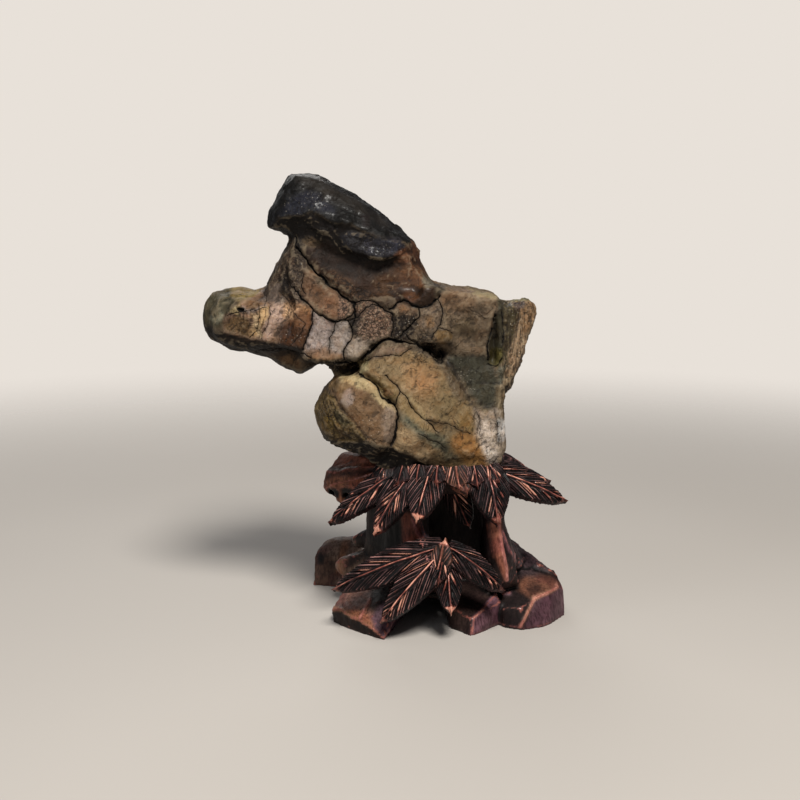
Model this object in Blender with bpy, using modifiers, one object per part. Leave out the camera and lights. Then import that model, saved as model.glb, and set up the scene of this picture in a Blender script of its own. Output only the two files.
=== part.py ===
"""A scholar's rock standing in a carved wooden stand.

The rock is one natural stone: a dark slab of a cap over a brown, fissured body that reaches out
to the left like a snout. The stand is carved from one block of wood: faceted rocks and a split
log below, trunks round a dark hollow in the middle, and a canopy of leaves on top, hollowed to
take the foot of the rock. Sizes are in millimetres and are scaled by MM to Blender's metres.
+Z is up, -Y is the front, and the origin is on the ground under the middle of the whole object.
"""

import bmesh
import bpy
import numpy as np
from mathutils import Vector, noise

MM = 0.001
CREASE = 40              # degrees: flatter edges than this are shaded smooth

# ------------------------------------------------------------------ the rock: driving dimensions
VOXEL = 1.4              # grain of the surface that fuses the lumps of the rock
WEATHERING = 9           # smoothing passes over that surface
ROCK_TRIANGLES = 4600    # what the fused rock is thinned to
SWELL = (15.0, 1.2)      # size and height of the broad swells of the surface
SWELL_OCTAVES = 3        # finer swells laid over the broad ones, each SWELL_STEP times finer
SWELL_STEP = 2.1
CHIPS = (5.5, 0.5)       # size and height of the small chips
CHIP_LEVEL = 0.4         # the height of the chip pattern that leaves the surface where it was
NOTCH_LIMIT = -0.25      # fissures are cut where the surface turns this far towards their side
NOTCH_SHARE = 0.6        # how much of a fissure's width its steep part takes

# Each lump: corners of its outline (x, z), the depth y of its near and far face, how far those
# faces draw in from the outline, and the slope of the near face along x and z. Crest points
# (x, y, z) raise a ridge on it.
LUMPS = {
    "cap": dict(
        outline=[(-62, 259), (-46, 257), (-31, 249), (-16, 240), (-2, 229), (8, 221), (13, 214),
                 (-2, 213), (-18, 212), (-34, 218), (-51, 222), (-62, 224), (-76, 226), (-75, 236),
                 (-70, 247), (-64, 257)],
        near=-17, far=22, draw=0.86,
        crest=[(-66, -22, 231), (-51, -28, 234), (-39, -30, 233), (-31, -30, 228), (-14, -31, 222),
               (-2, -27, 216), (-58, -16, 250), (-30, -17, 242), (-6, -18, 227)],
    ),
    "cap_under": dict(
        outline=[(-60, 230), (-39, 232), (-18, 225), (4, 215), (12, 212), (1, 209), (-19, 206),
                 (-40, 213), (-60, 220)],
        near=-18, far=14, draw=0.8,
        crest=[(-58, -22, 229), (-51, -26, 232), (-39, -28, 231), (-28, -30, 220), (-22, -31, 213),
               (-11, -31, 210), (-2, -28, 211), (-54, -19, 219), (-39, -22, 214),
               (8, -20, 211)],
    ),
    "neck": dict(
        outline=[(-62, 226), (-65, 217), (-67, 208), (-66, 190), (-32, 169), (12, 169), (23, 192),
                 (17, 201), (8, 215), (-3, 216), (-40, 226)],
        near=-25, far=25, draw=0.88, slope=(0.04, 0.28),
    ),
    "shoulder": dict(
        outline=[(-65, 217), (-66, 208), (-71, 199), (-77, 193), (-71, 169), (-50, 172), (-52, 205)],
        near=-21, far=18, draw=0.82, slope=(-0.24, 0.2),
    ),
    "snout": dict(
        outline=[(-115, 172), (-113, 184), (-108, 191), (-95, 194), (-79, 194), (-57, 193),
                 (-46, 175), (-52, 154), (-80, 153), (-99, 156), (-111, 163)],
        near=-20, far=19, draw=0.66, slope=(-0.1, 0.0),
        crest=[(-94, -22, 182), (-86, -24, 180), (-72, -26, 182), (-104, -15, 172),
               (-90, -22, 167), (-74, -25, 165), (-58, -29, 161)],
    ),
    "jaw": dict(
        outline=[(-84, 158), (-72, 151), (-67, 147), (-57, 142), (-51, 149), (-40, 152), (-38, 160),
                 (-60, 163)],
        near=-15, far=11, draw=0.66,
    ),
    "cheek": dict(
        outline=[(-60, 192), (-26, 184), (-12, 168), (-16, 155), (-28, 150), (-43, 150), (-56, 153),
                 (-62, 170)],
        near=-31, far=22, draw=0.88, slope=(-0.07, 0.03),
    ),
    "middle": dict(
        outline=[(-34, 172), (-30, 190), (0, 193), (26, 188), (31, 163), (8, 163), (-14, 163)],
        near=-33, far=28, draw=0.9, slope=(0.0, 0.06),
    ),
    "throat": dict(
        outline=[(-43, 156), (-10, 160), (-6, 138), (-30, 138), (-40, 147)],
        near=-18, far=20, draw=0.9,
    ),
    "right_block": dict(
        outline=[(9, 198), (21, 192), (35, 190), (46, 187), (54, 191), (58, 187), (59, 165),
                 (53, 156), (34, 154), (18, 160), (12, 170)],
        near=-29, far=27, draw=0.9, slope=(0.06, -0.16),
    ),
    "slate": dict(
        outline=[(14, 168), (59, 172), (61, 134), (59, 112), (36, 110), (22, 130)],
        near=-25, far=27, draw=0.9,
    ),
    "wing": dict(
        outline=[(57, 187), (75, 189), (78, 184), (76, 173), (72, 166), (69, 149), (66, 145),
                 (62, 133), (52, 126), (50, 170)],
        near=-18, far=13, draw=0.8, slope=(0.4, 0.0),
    ),
    "wing_behind": dict(
        outline=[(50, 184), (70, 185), (69, 170), (66, 150), (58, 130), (44, 128), (44, 170)],
        near=-4, far=24, draw=0.78,
    ),
    "belly": dict(
        outline=[(-25, 142), (-26, 152), (-21, 160), (-13, 167), (0, 169), (12, 166), (22, 161),
                 (32, 150), (40, 134), (48, 112), (50, 96), (28, 94), (2, 98), (-14, 102),
                 (-24, 118)],
        near=-34, far=30, draw=0.86, slope=(0.12, 0.03),
        crest=[(2, -40, 130), (12, -40, 114), (-8, -38, 146), (20, -36, 136), (24, -36, 108),
               (10, -30, 96), (26, -31, 93), (42, -28, 93)],
    ),
    "belly_foot": dict(
        outline=[(-4, 106), (40, 112), (53, 100), (54, 88), (42, 84), (8, 85), (-6, 97)],
        near=-29, far=20, draw=0.9,
    ),
    "haunch": dict(
        outline=[(38, 130), (60, 129), (61, 123), (59, 114), (62, 109), (62, 104), (59, 96),
                 (55, 86), (40, 84), (40, 110)],
        near=-23, far=26, draw=0.86,
        crest=[(46, -30, 126), (47, -32, 116), (46, -31, 107), (49, -29, 98), (59, -20, 111),
               (58, -18, 103)],
    ),
    "paw": dict(
        outline=[(-37, 144), (-46, 135), (-50, 125), (-49, 116), (-45, 106), (-33, 99), (-5, 100),
                 (0, 110), (0, 124), (-8, 134), (-20, 146)],
        near=-30, far=16, draw=0.7,
        crest=[(-35, -33, 145), (-22, -35, 146), (-12, -38, 140), (-4, -38, 129), (-3, -38, 119),
               (-6, -37, 109), (-34, -38, 138), (-30, -41, 130), (-21, -42, 120), (-11, -41, 111),
               (-43, -24, 112), (-31, -31, 105), (-15, -35, 102)],
    ),
    "foot": dict(
        outline=[(-30, 103), (-18, 112), (20, 112), (56, 100), (55, 87), (44, 84), (6, 84),
                 (-14, 91)],
        near=-27, far=22, draw=0.84,
    ),
    "back_ridge": dict(
        outline=[(-58, 208), (-20, 214), (16, 192), (30, 158), (4, 140), (-24, 158), (-52, 176)],
        near=0, far=35, draw=0.62,
    ),
    "back_hip": dict(
        outline=[(-18, 148), (20, 156), (48, 132), (50, 102), (16, 92), (-20, 108)],
        near=0, far=37, draw=0.66,
    ),
}

# Fissures on the near (-1) and far (+1) side: width, depth and points (x, z) on the surface.
FISSURES = [
    (-1, 2.0, 2.4, [(-58, 218), (-54, 211), (-48, 205), (-39, 197), (-32, 191), (-25, 188),
                    (-24, 181), (-27, 172), (-30, 162), (-31, 154)]),
    (-1, 1.8, 1.8, [(-61, 198), (-55, 193), (-51, 185), (-45, 180), (-38, 175), (-31, 175),
                    (-25, 177)]),
    (-1, 1.8, 1.4, [(-48, 180), (-49, 172), (-52, 161)]),
    (-1, 1.6, 1.2, [(-34, 174), (-38, 170), (-40, 157)]),
    (-1, 1.8, 1.5, [(-25, 187), (-19, 188), (-12, 186), (-4, 179), (-2, 172), (-6, 166)]),
    (-1, 1.8, 1.5, [(-5, 183), (1, 187), (10, 183), (7, 178), (3, 167)]),
    (-1, 2.0, 1.8, [(7, 178), (11, 183), (18, 187), (24, 194)]),
    (-1, 1.6, 1.2, [(19, 187), (22, 178), (18, 171)]),
    (-1, 2.6, 3.6, [(-42, 150), (-30, 153), (-23, 152), (-18, 159)]),
    (-1, 1.6, 1.3, [(-18, 159), (-13, 164), (-6, 166), (2, 166), (13, 164), (20, 160)]),
    (-1, 2.4, 3.2, [(-26, 151), (-22, 149), (-13, 142), (-3, 130), (-1, 123), (-4, 109),
                    (-6, 103)]),
    (-1, 1.4, 1.2, [(-8, 148), (0, 139), (7, 131), (15, 122), (27, 118), (39, 109)]),
    (-1, 4.0, 5.0, [(22, 158), (25, 157)]),
    (-1, 3.2, 8.0, [(56, 192), (54, 182), (53, 170), (53, 160), (52, 153)]),
    (-1, 2.4, 2.4, [(-6, 104), (5, 100), (14, 94)]),
    (1, 3.0, 3.4, [(-60, 216), (-38, 203), (-14, 196), (6, 178), (30, 170), (52, 160)]),
    (1, 2.4, 2.4, [(-14, 196), (-26, 178), (-20, 156), (2, 142), (30, 132), (56, 128)]),
    (1, 2.2, 2.0, [(-66, 186), (-46, 176), (-24, 178)]),
    (1, 2.2, 2.2, [(2, 142), (-6, 122), (8, 104), (4, 90)]),
]

# ----------------------------------------------------------------- the stand: driving dimensions
SEAT_GAP = 0.85          # how much wider than the rock's foot its hollow is cut
SEAT_GRAIN = 1.0         # grain of the surface that cuts the hollow
SEAT_TRIANGLES = 5600    # what that surface is thinned to
LEAF_THICK = 3.4         # thickness of a carved leaf
LEAF_ROWS, LEAF_COLUMNS = 7, 4
LEAF_STALK = 0.10        # half width at the stalk, as a share of the widest
LEAF_START = 0.16        # where along a whole lens the blade starts, so that its root is broad
LEAF_BELLY = 0.9         # under 1, it moves the widest place towards the root
LEAF_FULL = 0.75         # under 1, it fills out the blade's outline
LEAF_ARCH = 0.16         # how far the edges drop below the midrib, as a share of the half width
LIMB_SIDES = 1           # bevel resolution of the trunks and branches
SAW_DEPTH = 4.0          # how far the feet run below the ground before they are sawn flat

# Rocks, logs and the block of the stand: convex chunks by their corners (x, y, z). Corners on
# the ground are given at z = 0 and run down by SAW_DEPTH.
CHUNKS = {
    "rock_front": [(29, -32, 0), (40, -44, 0), (58, -24, 0), (54, 14, 0), (26, 10, 0),
                   (27, -25, 12), (40, -39, 9), (58, -25, 14), (36, -19, 17), (54, -8, 20),
                   (50, 10, 25), (30, 4, 22)],
    "rock_right": [(56, -16, 0), (59, -30, 0), (70, -35, 0), (85, -29, 0), (98, -9, 0), (99, 14, 0),
                   (58, 14, 0), (59, -27, 11), (69, -30, 12), (89, -13, 18), (97, -4, 15.5),
                   (78, -4, 21.5), (60, -10, 21), (94, 14, 21), (70, 12, 27)],
    "mound": [(46, 0, 0), (99, 8, 0), (96, 38, 0), (50, 50, 0), (95, 6, 20), (84, 8, 26.5),
              (75, 20, 31), (64, 30, 40), (52, 22, 42), (48, 6, 30), (90, 36, 14)],
    "buttress": [(54, -10, 52), (63, 2, 48), (60, 14, 47), (48, 10, 44), (69, 3, 38), (74, -2, 27),
                 (76, 16, 30), (54, -10, 22), (54, 20, 20)],
    "log": [(-39, -20, 0), (-27, -34, 0), (-9, -49, 0), (4, -3, 0), (-6, 12, 0), (-34, 6, 0),
            (-40, -20, 7), (-31, -30, 10), (-19, -41, 8.5), (-9, -49, 2), (-3, -36, 14),
            (-9, -28, 18), (6, -8, 24), (-26, -14, 18), (-30, 2, 20)],
    "block_left": [(-56, 46, 0), (-38, 42, 0), (-18, 46, 0), (-14, 72, 0), (-50, 74, 0),
                   (-56, 50, 20), (-46, 58, 29), (-24, 60, 30), (-18, 48, 25), (-48, 73, 22),
                   (-20, 72, 24)],
    "heel": [(20, 40, 0), (58, 36, 0), (62, 62, 0), (18, 66, 0), (22, 42, 24), (58, 38, 26),
             (56, 58, 20), (24, 62, 18)],
    "floor": [(-36, 14, 7), (2, -6, 10), (40, -10, 10), (80, 4, 8), (84, 34, 8), (40, 54, 8),
              (-24, 58, 8), (-36, 16, 19), (2, -2, 24), (40, -4, 26), (76, 6, 26), (78, 32, 26),
              (38, 50, 26), (-24, 54, 24)],
    "core": [(6, 10, 16), (48, 8, 16), (54, 40, 16), (4, 46, 16), (-6, 4, 88), (52, 4, 88),
             (50, 30, 88), (4, 34, 88), (12, 14, 50), (46, 12, 50)],
    "trunk_web": [(-20, 6, 86), (-2, -12, 86), (14, 4, 86), (-4, 22, 86), (-20, 7, 50),
                  (-6, -10, 50), (10, 0, 50), (-8, 18, 50), (-22, 8, 14), (-6, -8, 14),
                  (10, 4, 14), (-8, 22, 14)],
    "trunk_left_top": [(-9, -13, 52), (-6, -16, 56), (9, -25, 61), (17, -20, 50), (14, -4, 50),
                       (-8, 4, 50), (-9, -14, 76), (8, -22, 79), (17, -10, 82), (4, 6, 82),
                       (-12, 0, 82)],
    "trunk_left_foot": [(-8, -13, 55), (9, -25, 60), (17, -22, 48), (21, -25, 38), (22, -14, 18),
                        (-8, -16, 20), (-12, -10, 24), (14, 0, 54), (-8, 2, 54), (20, 4, 16),
                        (-10, 6, 16)],
    "trunk_right_top": [(48, -24, 86), (62, -18, 86), (58, -2, 86), (44, -4, 86), (49.5, -24, 58),
                        (54, -29, 58), (60, -23, 58), (57, -8, 58), (47, -12, 58)],
    "trunk_right_foot": [(49.5, -24, 62), (54, -28, 62), (59.5, -23, 62), (58, -8, 62),
                         (48, -12, 62), (48.5, -27, 45), (56, -32.5, 43), (65, -25, 42),
                         (67, -10, 40), (46, -10, 40), (59, -31, 28), (54, -24, 20), (69, -18, 22),
                         (66, -4, 16), (46, -4, 16)],
    "dish": [(-34, 6, 95), (-26, -5, 96), (-4, -22, 95), (10, -33, 95), (26, -36, 94.5),
             (42, -35, 94.5), (54, -31, 95), (59, -19, 94.5), (62, 0, 94), (58, 22, 94),
             (40, 34, 94), (10, 37, 94), (-20, 28, 94), (-22, 4, 80), (-2, -14, 77),
             (24, -24, 77), (44, -24, 77), (54, 0, 78), (38, 26, 78), (8, 28, 78),
             (-16, 20, 79)],
    "rolled_leaf": [(-35, 7, 95.5), (-19, -7, 96), (-2, -19, 95), (2, 6, 92), (-12, 24, 93),
                    (-30, 22, 93), (-45, 4, 82), (-46.5, 5, 74), (-43, 18, 74), (-41, -5, 70),
                    (-34, -10, 67), (-21, -15, 69), (-18, 4, 68), (-32, 14, 67), (-9, -16, 76),
                    (-40, -6, 84), (-26, -16, 85), (-12, -22, 87)],
}

# Trunks, branches and the rolled log: (x, y, z, radius) along each.
LIMBS = {
    "trunk_behind": [(-17, 20, 8, 12), (-14, 13, 28, 8.5), (-13, 9, 48, 8), (-11, 6, 66, 8.5),
                     (-4, 4, 86, 11)],
    "trunk_far": [(14, 50, 8, 12), (14, 42, 32, 9), (16, 38, 56, 8), (18, 26, 86, 11)],
    "trunk_far_right": [(66, 36, 8, 12), (60, 34, 34, 9), (54, 30, 58, 8), (46, 22, 86, 11)],
    "knot": [(25, -39, 55, 1.2), (25, -41, 51, 3.6), (25, -42, 46, 4.6), (24, -36, 36, 6),
             (22, -18, 24, 8), (16, 6, 18, 9)],
    "split_log": [(-37, 8, 24, 4.5), (-36, 9, 24, 6.5), (-20, 10, 28, 7.5), (-2, 8, 32, 8)],
    "stub": [(-29, 22, 35, 3), (-27, 22, 36, 5), (-14, 18, 42, 7), (-4, 10, 50, 8)],
}

# Hollows cut into the wood: the two mouths of the rolled leaf.
HOLLOWS = {
    "mouth_outer": [(-44, -10, 66, 3.2), (-39, -2, 73, 3.4), (-33, 8, 81, 2.4)],
    "mouth_inner": [(-35, -18, 65, 3.6), (-30, -10, 72, 3.8), (-23, 2, 80, 2.6)],
}

# Leaves: root and tip of the midrib, width, how far the midrib bows out, the way the leaf faces.
LEAVES = {
    "canopy_1": ((8, -22, 95), (-39, -34, 64), 16, 4, (-0.25, -0.8, 0.55)),
    "canopy_2": ((6, -27, 89), (-14, -42, 60), 16, 3, (-0.35, -0.88, 0.3)),
    "canopy_3": ((19, -25, 96), (9, -46, 68), 20, 4, (-0.1, -0.85, 0.5)),
    "bract": ((32, -25, 96), (37, -39, 82), 16, 1.5, (0.1, -0.8, 0.6)),
    "canopy_4": ((28, -10, 83), (40, -19, 57), 15, 2, (-0.1, -1.0, 0.1)),
    "canopy_5": ((47, -24, 96), (54, -43, 66), 22, 4, (0.12, -0.85, 0.5)),
    "canopy_6": ((50, -20, 91), (94, -23, 73.5), 16, 2.5, (0.1, -0.82, 0.58)),
    "canopy_7": ((50, -4, 92), (87, -3, 80), 17, 1.5, (0.25, -0.35, 0.9)),
    "canopy_8": ((46, 14, 95), (82, 34, 72), 19, 5, (0.3, 0.3, 0.9)),
    "canopy_9": ((40, 22, 95), (52, 58, 66), 22, 5, (0.1, 0.7, 0.7)),
    "canopy_10": ((16, 26, 95), (8, 62, 64), 22, 5, (0.0, 0.75, 0.65)),
    "canopy_11": ((0, 22, 95), (-22, 54, 67), 20, 5, (-0.3, 0.6, 0.75)),
    "canopy_12": ((-12, 14, 94), (-40, 34, 71), 19, 4, (-0.4, 0.25, 0.9)),
    "spray_1": ((24, -40, 51), (-37, -38, 26), 19, 5, (-0.1, -0.82, 0.55)),
    "spray_2": ((24, -43, 49), (-10, -54, 13), 18, 4, (-0.3, -0.88, 0.4)),
    "spray_3": ((26, -43, 42), (28, -57, 19), 14, 1.5, (0.05, -1.0, 0.1)),
    "spray_4": ((25, -42, 50), (21, -53, 34), 10, 1.5, (-0.1, -1.0, 0.3)),
    "spray_5": ((26, -40, 51), (57, -45, 28), 15, 4, (0.15, -0.8, 0.6)),
}


# ------------------------------------------------------------------------------- shared helpers
def clear_scene():
    for obj in list(bpy.data.objects):
        bpy.data.objects.remove(obj, do_unlink=True)


def new_object(name, bm, collection):
    """An object of this name from a bmesh, in the collection."""
    bmesh.ops.recalc_face_normals(bm, faces=bm.faces)
    mesh = bpy.data.meshes.new(name)
    bm.to_mesh(mesh)
    bm.free()
    obj = bpy.data.objects.new(name, mesh)
    collection.objects.link(obj)
    return obj


def evaluated_mesh(obj):
    graph = bpy.context.evaluated_depsgraph_get()
    return bpy.data.meshes.new_from_object(obj.evaluated_get(graph))


def apply_modifiers(obj):
    mesh = evaluated_mesh(obj)
    obj.modifiers.clear()
    obj.data = mesh


def add_hull(bm, corners):
    """The convex hull of some corners, in millimetres."""
    made = [bm.verts.new(Vector(c) * MM) for c in corners]
    hull = bmesh.ops.convex_hull(bm, input=made)
    inside = [v for v in hull["geom_interior"] if isinstance(v, bmesh.types.BMVert)]
    bmesh.ops.delete(bm, geom=inside, context="VERTS")


def paint(obj, name, colour, roughness):
    """The piece's own material, and smooth shading except over the edges sharper than CREASE."""
    obj.data.shade_smooth()
    obj.data.set_sharp_from_angle(angle=np.radians(CREASE))
    material = bpy.data.materials.new(name)
    material.use_nodes = True
    surface = material.node_tree.nodes["Principled BSDF"]
    surface.inputs["Base Color"].default_value = (*colour, 1.0)
    surface.inputs["Roughness"].default_value = roughness
    obj.data.materials.clear()
    obj.data.materials.append(material)


# ----------------------------------------------------------------------------------- the rock
def add_lump(bm, outline, near, far, draw, slope=(0.0, 0.0), crest=()):
    """One convex lump: the hull of its outline at mid depth, of the same outline drawn in at its
    near and far faces, and of the points of its ridge."""
    middle = np.mean(outline, axis=0)
    depth = (near + far) / 2
    corners = list(crest)
    for corner in outline:
        dx, dz = draw * (np.array(corner) - middle)
        x, z = middle[0] + dx, middle[1] + dz
        corners.append((corner[0], depth, corner[1]))
        corners.append((x, near + slope[0] * dx + slope[1] * dz, z))
        corners.append((x, far, z))
    add_hull(bm, corners)


def distance_to_line(points, line):
    """How far each (x, z) point is from a line of straight runs."""
    nearest = np.full(len(points), np.inf)
    for start, end in zip(np.array(line[:-1], float), np.array(line[1:], float)):
        run = end - start
        along = np.clip((points - start) @ run / (run @ run), 0.0, 1.0)
        away = np.linalg.norm(points - start - along[:, None] * run, axis=1)
        nearest = np.minimum(nearest, away)
    return nearest


def fissure_depth(points, normals):
    """How deep the fissures cut at each point, in millimetres."""
    depth = np.zeros(len(points))
    for side, width, deep, line in FISSURES:
        facing = normals[:, 1] * -side < NOTCH_LIMIT
        away = distance_to_line(points[:, [0, 2]], line)
        cut = deep * np.exp(-((away / (NOTCH_SHARE * width)) ** 2))
        depth = np.maximum(depth, np.where(facing, cut, 0.0))
    return depth


def surface_swell(point):
    """The height of the broad swells and small chips at a point, in millimetres."""
    size, height = SWELL
    broad = noise.fractal(point / size, 1.0, SWELL_STEP, SWELL_OCTAVES)
    chip_size, chip_height = CHIPS
    chips = noise.noise(point / chip_size, noise_basis="VORONOI_F2F1")
    return height * broad + chip_height * (chips - CHIP_LEVEL)


def roughen(obj):
    """Moves each point of the rock along its normal: out with the swells, in with the fissures."""
    mesh = obj.data
    count = len(mesh.vertices)
    points, normals = np.empty(count * 3), np.empty(count * 3)
    mesh.vertices.foreach_get("co", points)
    mesh.vertices.foreach_get("normal", normals)
    points, normals = points.reshape(-1, 3) / MM, normals.reshape(-1, 3)
    swell = np.array([surface_swell(Vector(p)) for p in points])
    moved = points + normals * (swell - fissure_depth(points, normals))[:, None]
    mesh.vertices.foreach_set("co", (moved * MM).ravel())
    mesh.update()


def make_rock(collection):
    bm = bmesh.new()
    for shape in LUMPS.values():
        add_lump(bm, **shape)
    rock = new_object("rock", bm, collection)
    fuse = rock.modifiers.new("fuse lumps", "REMESH")
    fuse.mode = "VOXEL"
    fuse.voxel_size = VOXEL * MM
    weather = rock.modifiers.new("weather", "SMOOTH")
    weather.factor = 0.5
    weather.iterations = WEATHERING
    apply_modifiers(rock)
    roughen(rock)
    thin = rock.modifiers.new("thin", "DECIMATE")
    thin.ratio = ROCK_TRIANGLES / (2 * len(rock.data.polygons))
    apply_modifiers(rock)
    paint(rock, "stone", (0.13, 0.095, 0.06), 0.6)
    return rock


# ---------------------------------------------------------------------------------- the stand
def make_chunk(name, corners, collection):
    bm = bmesh.new()
    add_hull(bm, [(x, y, z if z > 0 else -SAW_DEPTH) for x, y, z in corners])
    return new_object(name, bm, collection)


def make_limb(name, path, collection):
    """A trunk or branch: a curve with a radius at each point, made a closed mesh."""
    curve = bpy.data.curves.new(name, "CURVE")
    curve.dimensions = "3D"
    curve.bevel_depth = MM
    curve.bevel_resolution = LIMB_SIDES
    curve.use_fill_caps = True
    spline = curve.splines.new("POLY")
    spline.points.add(len(path) - 1)
    for point, (x, y, z, radius) in zip(spline.points, path):
        point.co = (x * MM, y * MM, z * MM, 1.0)
        point.radius = radius
    guide = bpy.data.objects.new(name + "_guide", curve)
    collection.objects.link(guide)
    bm = bmesh.new()
    bm.from_mesh(evaluated_mesh(guide))
    bmesh.ops.remove_doubles(bm, verts=bm.verts, dist=0.0001)
    bpy.data.objects.remove(guide, do_unlink=True)
    return new_object(name, bm, collection)


def leaf_frame(root, tip, face):
    """The leaf's axes: along its midrib, across its blade, and out of its face."""
    along = (Vector(tip) - Vector(root)).normalized()
    across = along.cross(Vector(face)).normalized()
    return along, across, across.cross(along).normalized()


def half_width(t, width):
    """Half the width of a leaf blade, t of the way from its root to its tip."""
    lens = np.sin(np.pi * (LEAF_START + (1 - LEAF_START) * t) ** LEAF_BELLY) ** LEAF_FULL
    return 0.5 * width * (LEAF_STALK + (1 - LEAF_STALK) * lens)


def make_leaf(name, shape, collection):
    """A leaf blade: a grid bent along its midrib, drawn to a lens, arched from side to side and
    given its thickness straight back from its face."""
    root, tip, width, bow, face = shape
    along, across, out = leaf_frame(root, tip, face)
    length = (Vector(tip) - Vector(root)).length
    bm = bmesh.new()
    bmesh.ops.create_grid(bm, x_segments=LEAF_ROWS, y_segments=LEAF_COLUMNS, size=0.5)
    for vert in bm.verts:
        t, s = vert.co.x + 0.5, 2 * vert.co.y
        half = half_width(t, width)
        lift = 4 * bow * t * (1 - t) - LEAF_ARCH * half * s * s
        place = Vector(root) + along * length * t + across * half * s + out * lift
        vert.co = place * MM
    back = bmesh.ops.extrude_face_region(bm, geom=bm.faces)["geom"]
    behind = [v for v in back if isinstance(v, bmesh.types.BMVert)]
    bmesh.ops.translate(bm, verts=behind, vec=-out * LEAF_THICK * MM)
    return new_object(name, bm, collection)


def boolean(obj, operation, **operand):
    cut = obj.modifiers.new(operation.lower(), "BOOLEAN")
    cut.operation = operation
    cut.solver = "EXACT"
    for key, value in operand.items():
        setattr(cut, key, value)


def seat_cutter(rock, collection):
    """The rock, softened and swollen by the seat's gap: the hollow for its foot is cut with it."""
    cutter = rock.copy()
    cutter.name = "seat_cutter"
    cutter.data = rock.data.copy()
    cutter.hide_render = True
    cutter.display_type = "WIRE"
    collection.objects.link(cutter)
    even = cutter.modifiers.new("even out", "REMESH")
    even.mode = "VOXEL"
    even.voxel_size = SEAT_GRAIN * MM
    swell = cutter.modifiers.new("swell", "DISPLACE")
    swell.mid_level = 0.0
    swell.strength = SEAT_GAP * MM
    apply_modifiers(cutter)
    thin = cutter.modifiers.new("thin", "DECIMATE")
    thin.ratio = SEAT_TRIANGLES / (2 * len(cutter.data.polygons))
    apply_modifiers(cutter)
    return cutter


def saw_flat(obj):
    """Cuts the feet of the stand off level with the ground."""
    bm = bmesh.new()
    bm.from_mesh(obj.data)
    geometry = [*bm.verts, *bm.edges, *bm.faces]
    cut = bmesh.ops.bisect_plane(bm, geom=geometry, plane_co=(0, 0, 0), plane_no=(0, 0, -1),
                                 clear_outer=True)
    rim = [e for e in cut["geom_cut"] if isinstance(e, bmesh.types.BMEdge)]
    bmesh.ops.triangle_fill(bm, edges=rim, use_beauty=True)
    bmesh.ops.recalc_face_normals(bm, faces=bm.faces)
    bm.to_mesh(obj.data)
    bm.free()


def gather(name, helpers, chunks, limbs, leaves):
    """A collection of the pieces that are joined to the stand, or cut from it."""
    pieces = bpy.data.collections.new(name)
    helpers.children.link(pieces)
    for key, corners in chunks.items():
        make_chunk(key, corners, pieces)
    for key, path in limbs.items():
        make_limb(key, path, pieces)
    for key, shape in leaves.items():
        make_leaf(key, shape, pieces)
    return pieces


def make_stand(rock, collection, helpers):
    chunks = {key: corners for key, corners in CHUNKS.items() if key != "floor"}
    added = gather("stand_additions", helpers, chunks, LIMBS, LEAVES)
    cut_away = gather("stand_hollows", helpers, {}, HOLLOWS, {})
    stand = make_chunk("stand", CHUNKS["floor"], collection)
    boolean(stand, "UNION", operand_type="COLLECTION", collection=added)
    boolean(stand, "DIFFERENCE", operand_type="COLLECTION", collection=cut_away)
    boolean(stand, "DIFFERENCE", object=seat_cutter(rock, helpers), use_self=True)
    apply_modifiers(stand)
    saw_flat(stand)
    for piece in [*added.objects, *cut_away.objects]:
        bpy.data.objects.remove(piece, do_unlink=True)
    paint(stand, "carved_wood", (0.05, 0.025, 0.018), 0.4)
    return stand


def centre_on_ground(objects):
    """Puts the origin on the ground under the middle of the box round all the objects."""
    corners = [v.co for obj in objects for v in obj.data.vertices]
    low = Vector(map(min, zip(*corners)))
    high = Vector(map(max, zip(*corners)))
    shift = Vector(((low.x + high.x) / 2, (low.y + high.y) / 2, low.z))
    for obj in objects:
        for vert in obj.data.vertices:
            vert.co -= shift


def main():
    clear_scene()
    whole = bpy.data.collections.new("scholars_rock")
    helpers = bpy.data.collections.new("helpers")
    helpers.hide_render = True
    for collection in (whole, helpers):
        bpy.context.scene.collection.children.link(collection)
    rock = make_rock(whole)
    stand = make_stand(rock, whole, helpers)
    centre_on_ground([rock, stand])


main()
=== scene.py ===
# %% [markdown]
# # A scholar's rock on its carved stand
#
# A scholar's rock is a stone that was found, not carved, and then given a stand cut to its foot.
# This one has a dark slab for a cap, a snout that reaches out to the left, and a body crossed by
# black fissures. Its stand is one block of dark wood, carved as rocks, logs, trunks and leaves.
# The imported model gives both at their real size. Each later step puts a finished surface in the
# place of a plain solid, so the first step loads that model and notes the box it fills.

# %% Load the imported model
import math

import bmesh
import bpy
import numpy as np
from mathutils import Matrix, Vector, noise


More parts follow.
